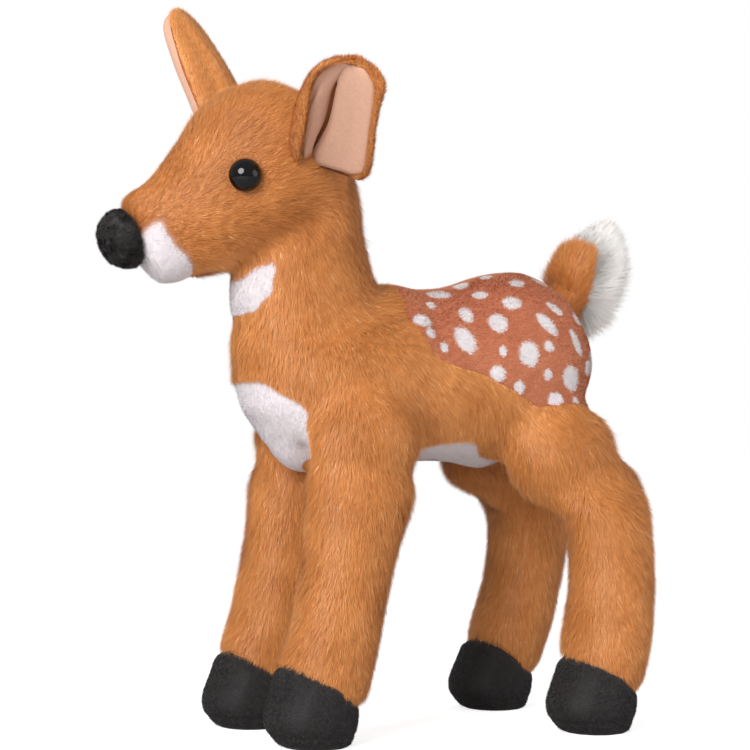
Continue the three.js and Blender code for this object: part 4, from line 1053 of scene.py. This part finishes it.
places, faces = moulded("tail", ["tail_top", "tail_under"], tailLook["voxel"], skinLook["grow"])
places = relaxed(places, faces, [0.5, -0.3] * 4)
whiteTail = relaxed(tailWhite(places)[:, None], faces, [0.5] * 4)
depth = tailLook["tanInset"] + (tailLook["whiteInset"] - tailLook["tanInset"]) * whiteTail
for step in range(6):
    places = relaxed(places - depth / 6 * vertexNormals(places, faces), faces, [0.4, -0.3])
normals = relaxed(vertexNormals(places, faces), faces, [0.5] * 2)
mesh = meshOf("tail_skin", places, faces)
for layer, values in (("saddle", 0 * whiteTail), ("white", whiteTail)):
    painted = mesh.attributes.new(layer, "FLOAT", "POINT").data
    painted.foreach_set("value", values.astype(np.float32).ravel())
tailSkin = newObject("tail_skin", mesh, backing)
rng = np.random.default_rng(400)
roots, facing, read, corner = scatter(places, faces, normals, tailLook["perArea"] * thin, rng)
isWhite = read(whiteTail) + 0.10 * rng.normal(size=len(roots)) > 0.5
up = (roots - tailRoot) @ tailAlong
tanComb = {**furComb, "lift": 21, "pull": 0.45 * mm}
plumeComb = {**furComb, "rows": 3, "lift": 50, "liftScatter": 10, "droop": 0.35, "pull": 1.1 * mm,
             "tuft": 6 * mm, "width": 0.26 * mm, "scatter": 12, "smooth": 0.92, "glint": 0.2}
sideways = (roots - tailRoot)[:, :1] * np.array([[1.0, 0, 0]]) / tailLook["halfWidth"]
flow = tailAlong + tailLook["spread"] * sideways
tone = toneOf(roots, 410, 0.42) * (0.35 + 0.65 * ease(up, 2 * mm, 20 * mm))
tan = hairs("tail_fur", tanComb, furPile, 420, *picked(~isWhite, roots, facing, flow, tone), tailLook["tan"])
# the white hair hangs back and down at the root and stands out along the tail further up
fan = flow * 1.1 * ease(up, 4 * mm, 32 * mm)[:, None] + np.array([0, 0.40, 0])
fan = fan - 0.95 * upward * (1 - ease(up, 0, 20 * mm))[:, None]
long = tailLook["white"] * (1.2 - 0.2 * ease(up, 0, 14 * mm) - 0.28 * ease(up, 22 * mm, 38 * mm))
long = long * (1 - 0.5 * ease(-facing[:, 1], 0, 0.8))
roots, facing, fan, long = picked(isWhite, roots, facing, fan, long)
tone = toneOf(roots, 430, 0.6, 0.2)
plume = hairs("tail_plume", plumeComb, plumePile, 440, roots, facing, fan, tone, long)
for piece in (tailSkin, tan, plume):
    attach(piece, "tail")
    "fur" if piece != plume else "white_plush"
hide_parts("tail_top", "tail_under")
print("tail made")


# Nose: a round pouch of curly black plush

noseLook = {"voxel": 0.9 * mm, "inset": 0.6 * mm, "lumps": 0.24 * mm, "pile": 1.9 * mm,
            "perArea": 22 / mm ** 2}
places, faces = moulded("nose", ["nose"], noseLook["voxel"], 0)
places = relaxed(places, faces, [0.5, -0.3] * 4)
lumps, _ = waves(places, 4 * mm, 71)
normals = vertexNormals(places, faces)
places = places + normals * (noseLook["lumps"] * lumps - noseLook["inset"])[:, None]
noseSkin = newObject("nose_skin", meshOf("nose_skin", places, faces), bootCloth)
rng = np.random.default_rng(72)
roots, facing, read, corner = scatter(places, faces, normals, noseLook["perArea"] * thin, rng)
swirl = np.stack([waves(roots, 6 * mm, seed)[0] for seed in (73, 74, 75)], 1)
curlyComb = {**shortComb, "lift": 50, "scatter": 60, "pull": 0.5 * mm, "width": 0.27 * mm}
nosePile = hairs("nose_pile", curlyComb, blackPile, 77, roots, facing, swirl, toneOf(roots, 76, 0.60, 0.22),
                 noseLook["pile"])
for piece in (noseSkin, nosePile):
    join(piece, "head")
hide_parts("nose")
print("nose made")


# Eyes: glossy domes on flanges, with a touch of brown round a black pupil

eyeLook = {"radius": 6.4 * mm, "dome": 5 * mm, "flange": 0.5 * mm, "shank": 8 * mm, "inner": 2.56 * mm,
           "rows": 24, "around": 48}
irisStops = [(0, tint(6, 5, 5)), (0.55, tint(9, 7, 6)), (0.8, tint(30, 17, 10)), (1, tint(14, 9, 7))]
paint = Paint(bpy.data.materials.new("eye_gloss"))
spread = paint.node("ShaderNodeSeparateXYZ", {}, {0: paint.node("ShaderNodeUVMap", {"uv_map": "lathe"})})
iris = paint.node("ShaderNodeValToRGB", {"stops": irisStops}, {0: spread.output(1)})
eyeGloss = paint.finish(Base_Color=iris, Roughness=0.08, Specular_IOR_Level=0.3)
washerPlastic = clothMaterial("washer_plastic", {
    "grain": 400.0, "dark": tint(205, 205, 200), "light": tint(224, 224, 219), "bump": 0.08,
    "depth": 0.1 * mm, "roughness": 0.45, "sheen": 0.0, "sheenTint": tint(255, 255, 255)})
for side in ("left", "right"):
    eye, washer = (numbers(frame["nodes"][name + side].data.vertices, "co", 3)
                   for name in ("eye_", "eye_washer_"))
    axis = unit(eye.mean(0) - washer.mean(0))
    top = washer.mean(0) + axis * ((eye - washer.mean(0)) @ axis).max()
    seat = top - axis * eyeLook["dome"]
    # the profile: a quarter of an ellipse from the pole to the flange, and the shank below
    angle = np.linspace(0.02, 1, eyeLook["rows"]) * math.pi / 2
    profile = np.stack([eyeLook["radius"] * np.sin(angle), eyeLook["dome"] * np.cos(angle)], 1)
    profile = np.concatenate([profile, [[eyeLook["radius"], -eyeLook["flange"]],
                                        [eyeLook["inner"], -eyeLook["flange"]],
                                        [eyeLook["inner"], -eyeLook["shank"]]]])
    first = unit(np.cross(axis, [0, 0, 1]))
    second = np.cross(axis, first)
    turn = np.linspace(0, 2 * math.pi, eyeLook["around"], endpoint=False)
    ring = np.cos(turn)[:, None] * first + np.sin(turn)[:, None] * second
    rings = seat + profile[:, 0, None, None] * ring + profile[:, 1, None, None] * axis
    piece, places, quads = closedForm("eye_dome_" + side, rings, eyeGloss)
    layer = piece.data.uv_layers.new(name="lathe")
    height = np.append(np.repeat(np.linspace(0, 1, len(profile)), eyeLook["around"]), [0, 1])
    height = height[corners(piece.data, 1)[:, 0]]
    layer.uv.foreach_set("vector", np.stack([0 * height + 0.5, height], 1).astype(np.float32).ravel())
    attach(piece, "head")
    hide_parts("eye_" + side)
    for socket in frame["nodes"]["eye_washer_" + side].material_slots:
        socket.material = washerPlastic
print("eyes made")


# Camera, light and floor

view = {"target": (0, -16.24 * mm, 144.55 * mm), "azimuth": 64.3, "elevation": -1.2, "distance": 922 * mm,
        "lens": 108.18}
azimuth, elevation = math.radians(view["azimuth"]), math.radians(view["elevation"])
back = Vector((math.sin(azimuth) * math.cos(elevation), -math.cos(azimuth) * math.cos(elevation),
               math.sin(elevation)))
target = Vector(origin) + Vector(view["target"])
camera = bpy.data.objects.new("camera", bpy.data.cameras.new("camera"))
camera.data.lens = view["lens"]
camera.location = target + back * view["distance"]
camera.rotation_mode = "QUATERNION"
camera.rotation_quaternion = (-back).to_track_quat("-Z", "Y")
camera.data.clip_end = 20
bpy.context.scene.collection.objects.link(camera)
bpy.context.scene.camera = camera


def lamp(name, place, size, power):
    light = bpy.data.lights.new(name, "AREA")
    light.shape, light.size, light.energy = "DISK", size, power
    holder = bpy.data.objects.new(name, light)
    holder.location = Vector(place)
    holder.rotation_mode = "QUATERNION"
    holder.rotation_quaternion = (target - holder.location).to_track_quat("-Z", "Y")
    bpy.context.scene.collection.objects.link(holder)


# Lamps by place, size and power; the white room's strength; the floor's greys and its glow for the camera
studioLook = {"key": ((0.95, -1.2, 0.8), 0.9, 31), "fill": ((1.6, 1.2, 0.6), 1.4, 10), "room": 0.51,
              "paper": (0.66, 0.69), "glow": 0.72, "grain": 60.0}
white = (1, 1, 1, 1)
for name in ("key", "fill"):
    lamp(name, *studioLook[name])

bpy.context.scene.world = bpy.data.worlds.new("studio")
sky = Paint(bpy.context.scene.world)
path = sky.node("ShaderNodeLightPath")
seen = path + path.output("Is Transmission Ray")
shown = sky.node("ShaderNodeBackground", {}, {"Color": white, "Strength": 1.0})
room = sky.node("ShaderNodeBackground", {}, {"Color": white, "Strength": studioLook["room"]})
mixer = sky.node("ShaderNodeMixShader", {}, {0: seen, 1: room, 2: shown})
sky.node("ShaderNodeOutputWorld", {}, {"Surface": mixer})

# white paper that gives the camera some light of its own, so that it reads white and keeps shadows
paper = Paint(bpy.data.materials.new("paper"))
at = paper.node("ShaderNodeTexCoord", {}, {}, 3)
grain = paper.node("ShaderNodeTexNoise", {}, {"Vector": at, "Scale": studioLook["grain"]})
darker, lighter = ((grey, grey, grey, 1) for grey in studioLook["paper"])
sheet = paper.node("ShaderNodeBsdfDiffuse", {}, {"Color": paper.mixed(grain, darker, lighter)})
toCamera = paper.node("ShaderNodeLightPath") * studioLook["glow"]
glow = paper.node("ShaderNodeEmission", {}, {"Color": white, "Strength": toCamera})
both = paper.node("ShaderNodeAddShader", {}, {0: sheet, 1: glow})
paper.node("ShaderNodeOutputMaterial", {}, {"Surface": both})

reach = 6
square = reach * np.array([[-1, -1, 0], [1, -1, 0], [1, 1, 0], [-1, 1, 0]], float)
floor = newObject("floor", meshOf("floor", square, np.array([[0, 1, 2, 3]])), paper.owner)

bpy.context.scene.view_settings.view_transform = "Standard"
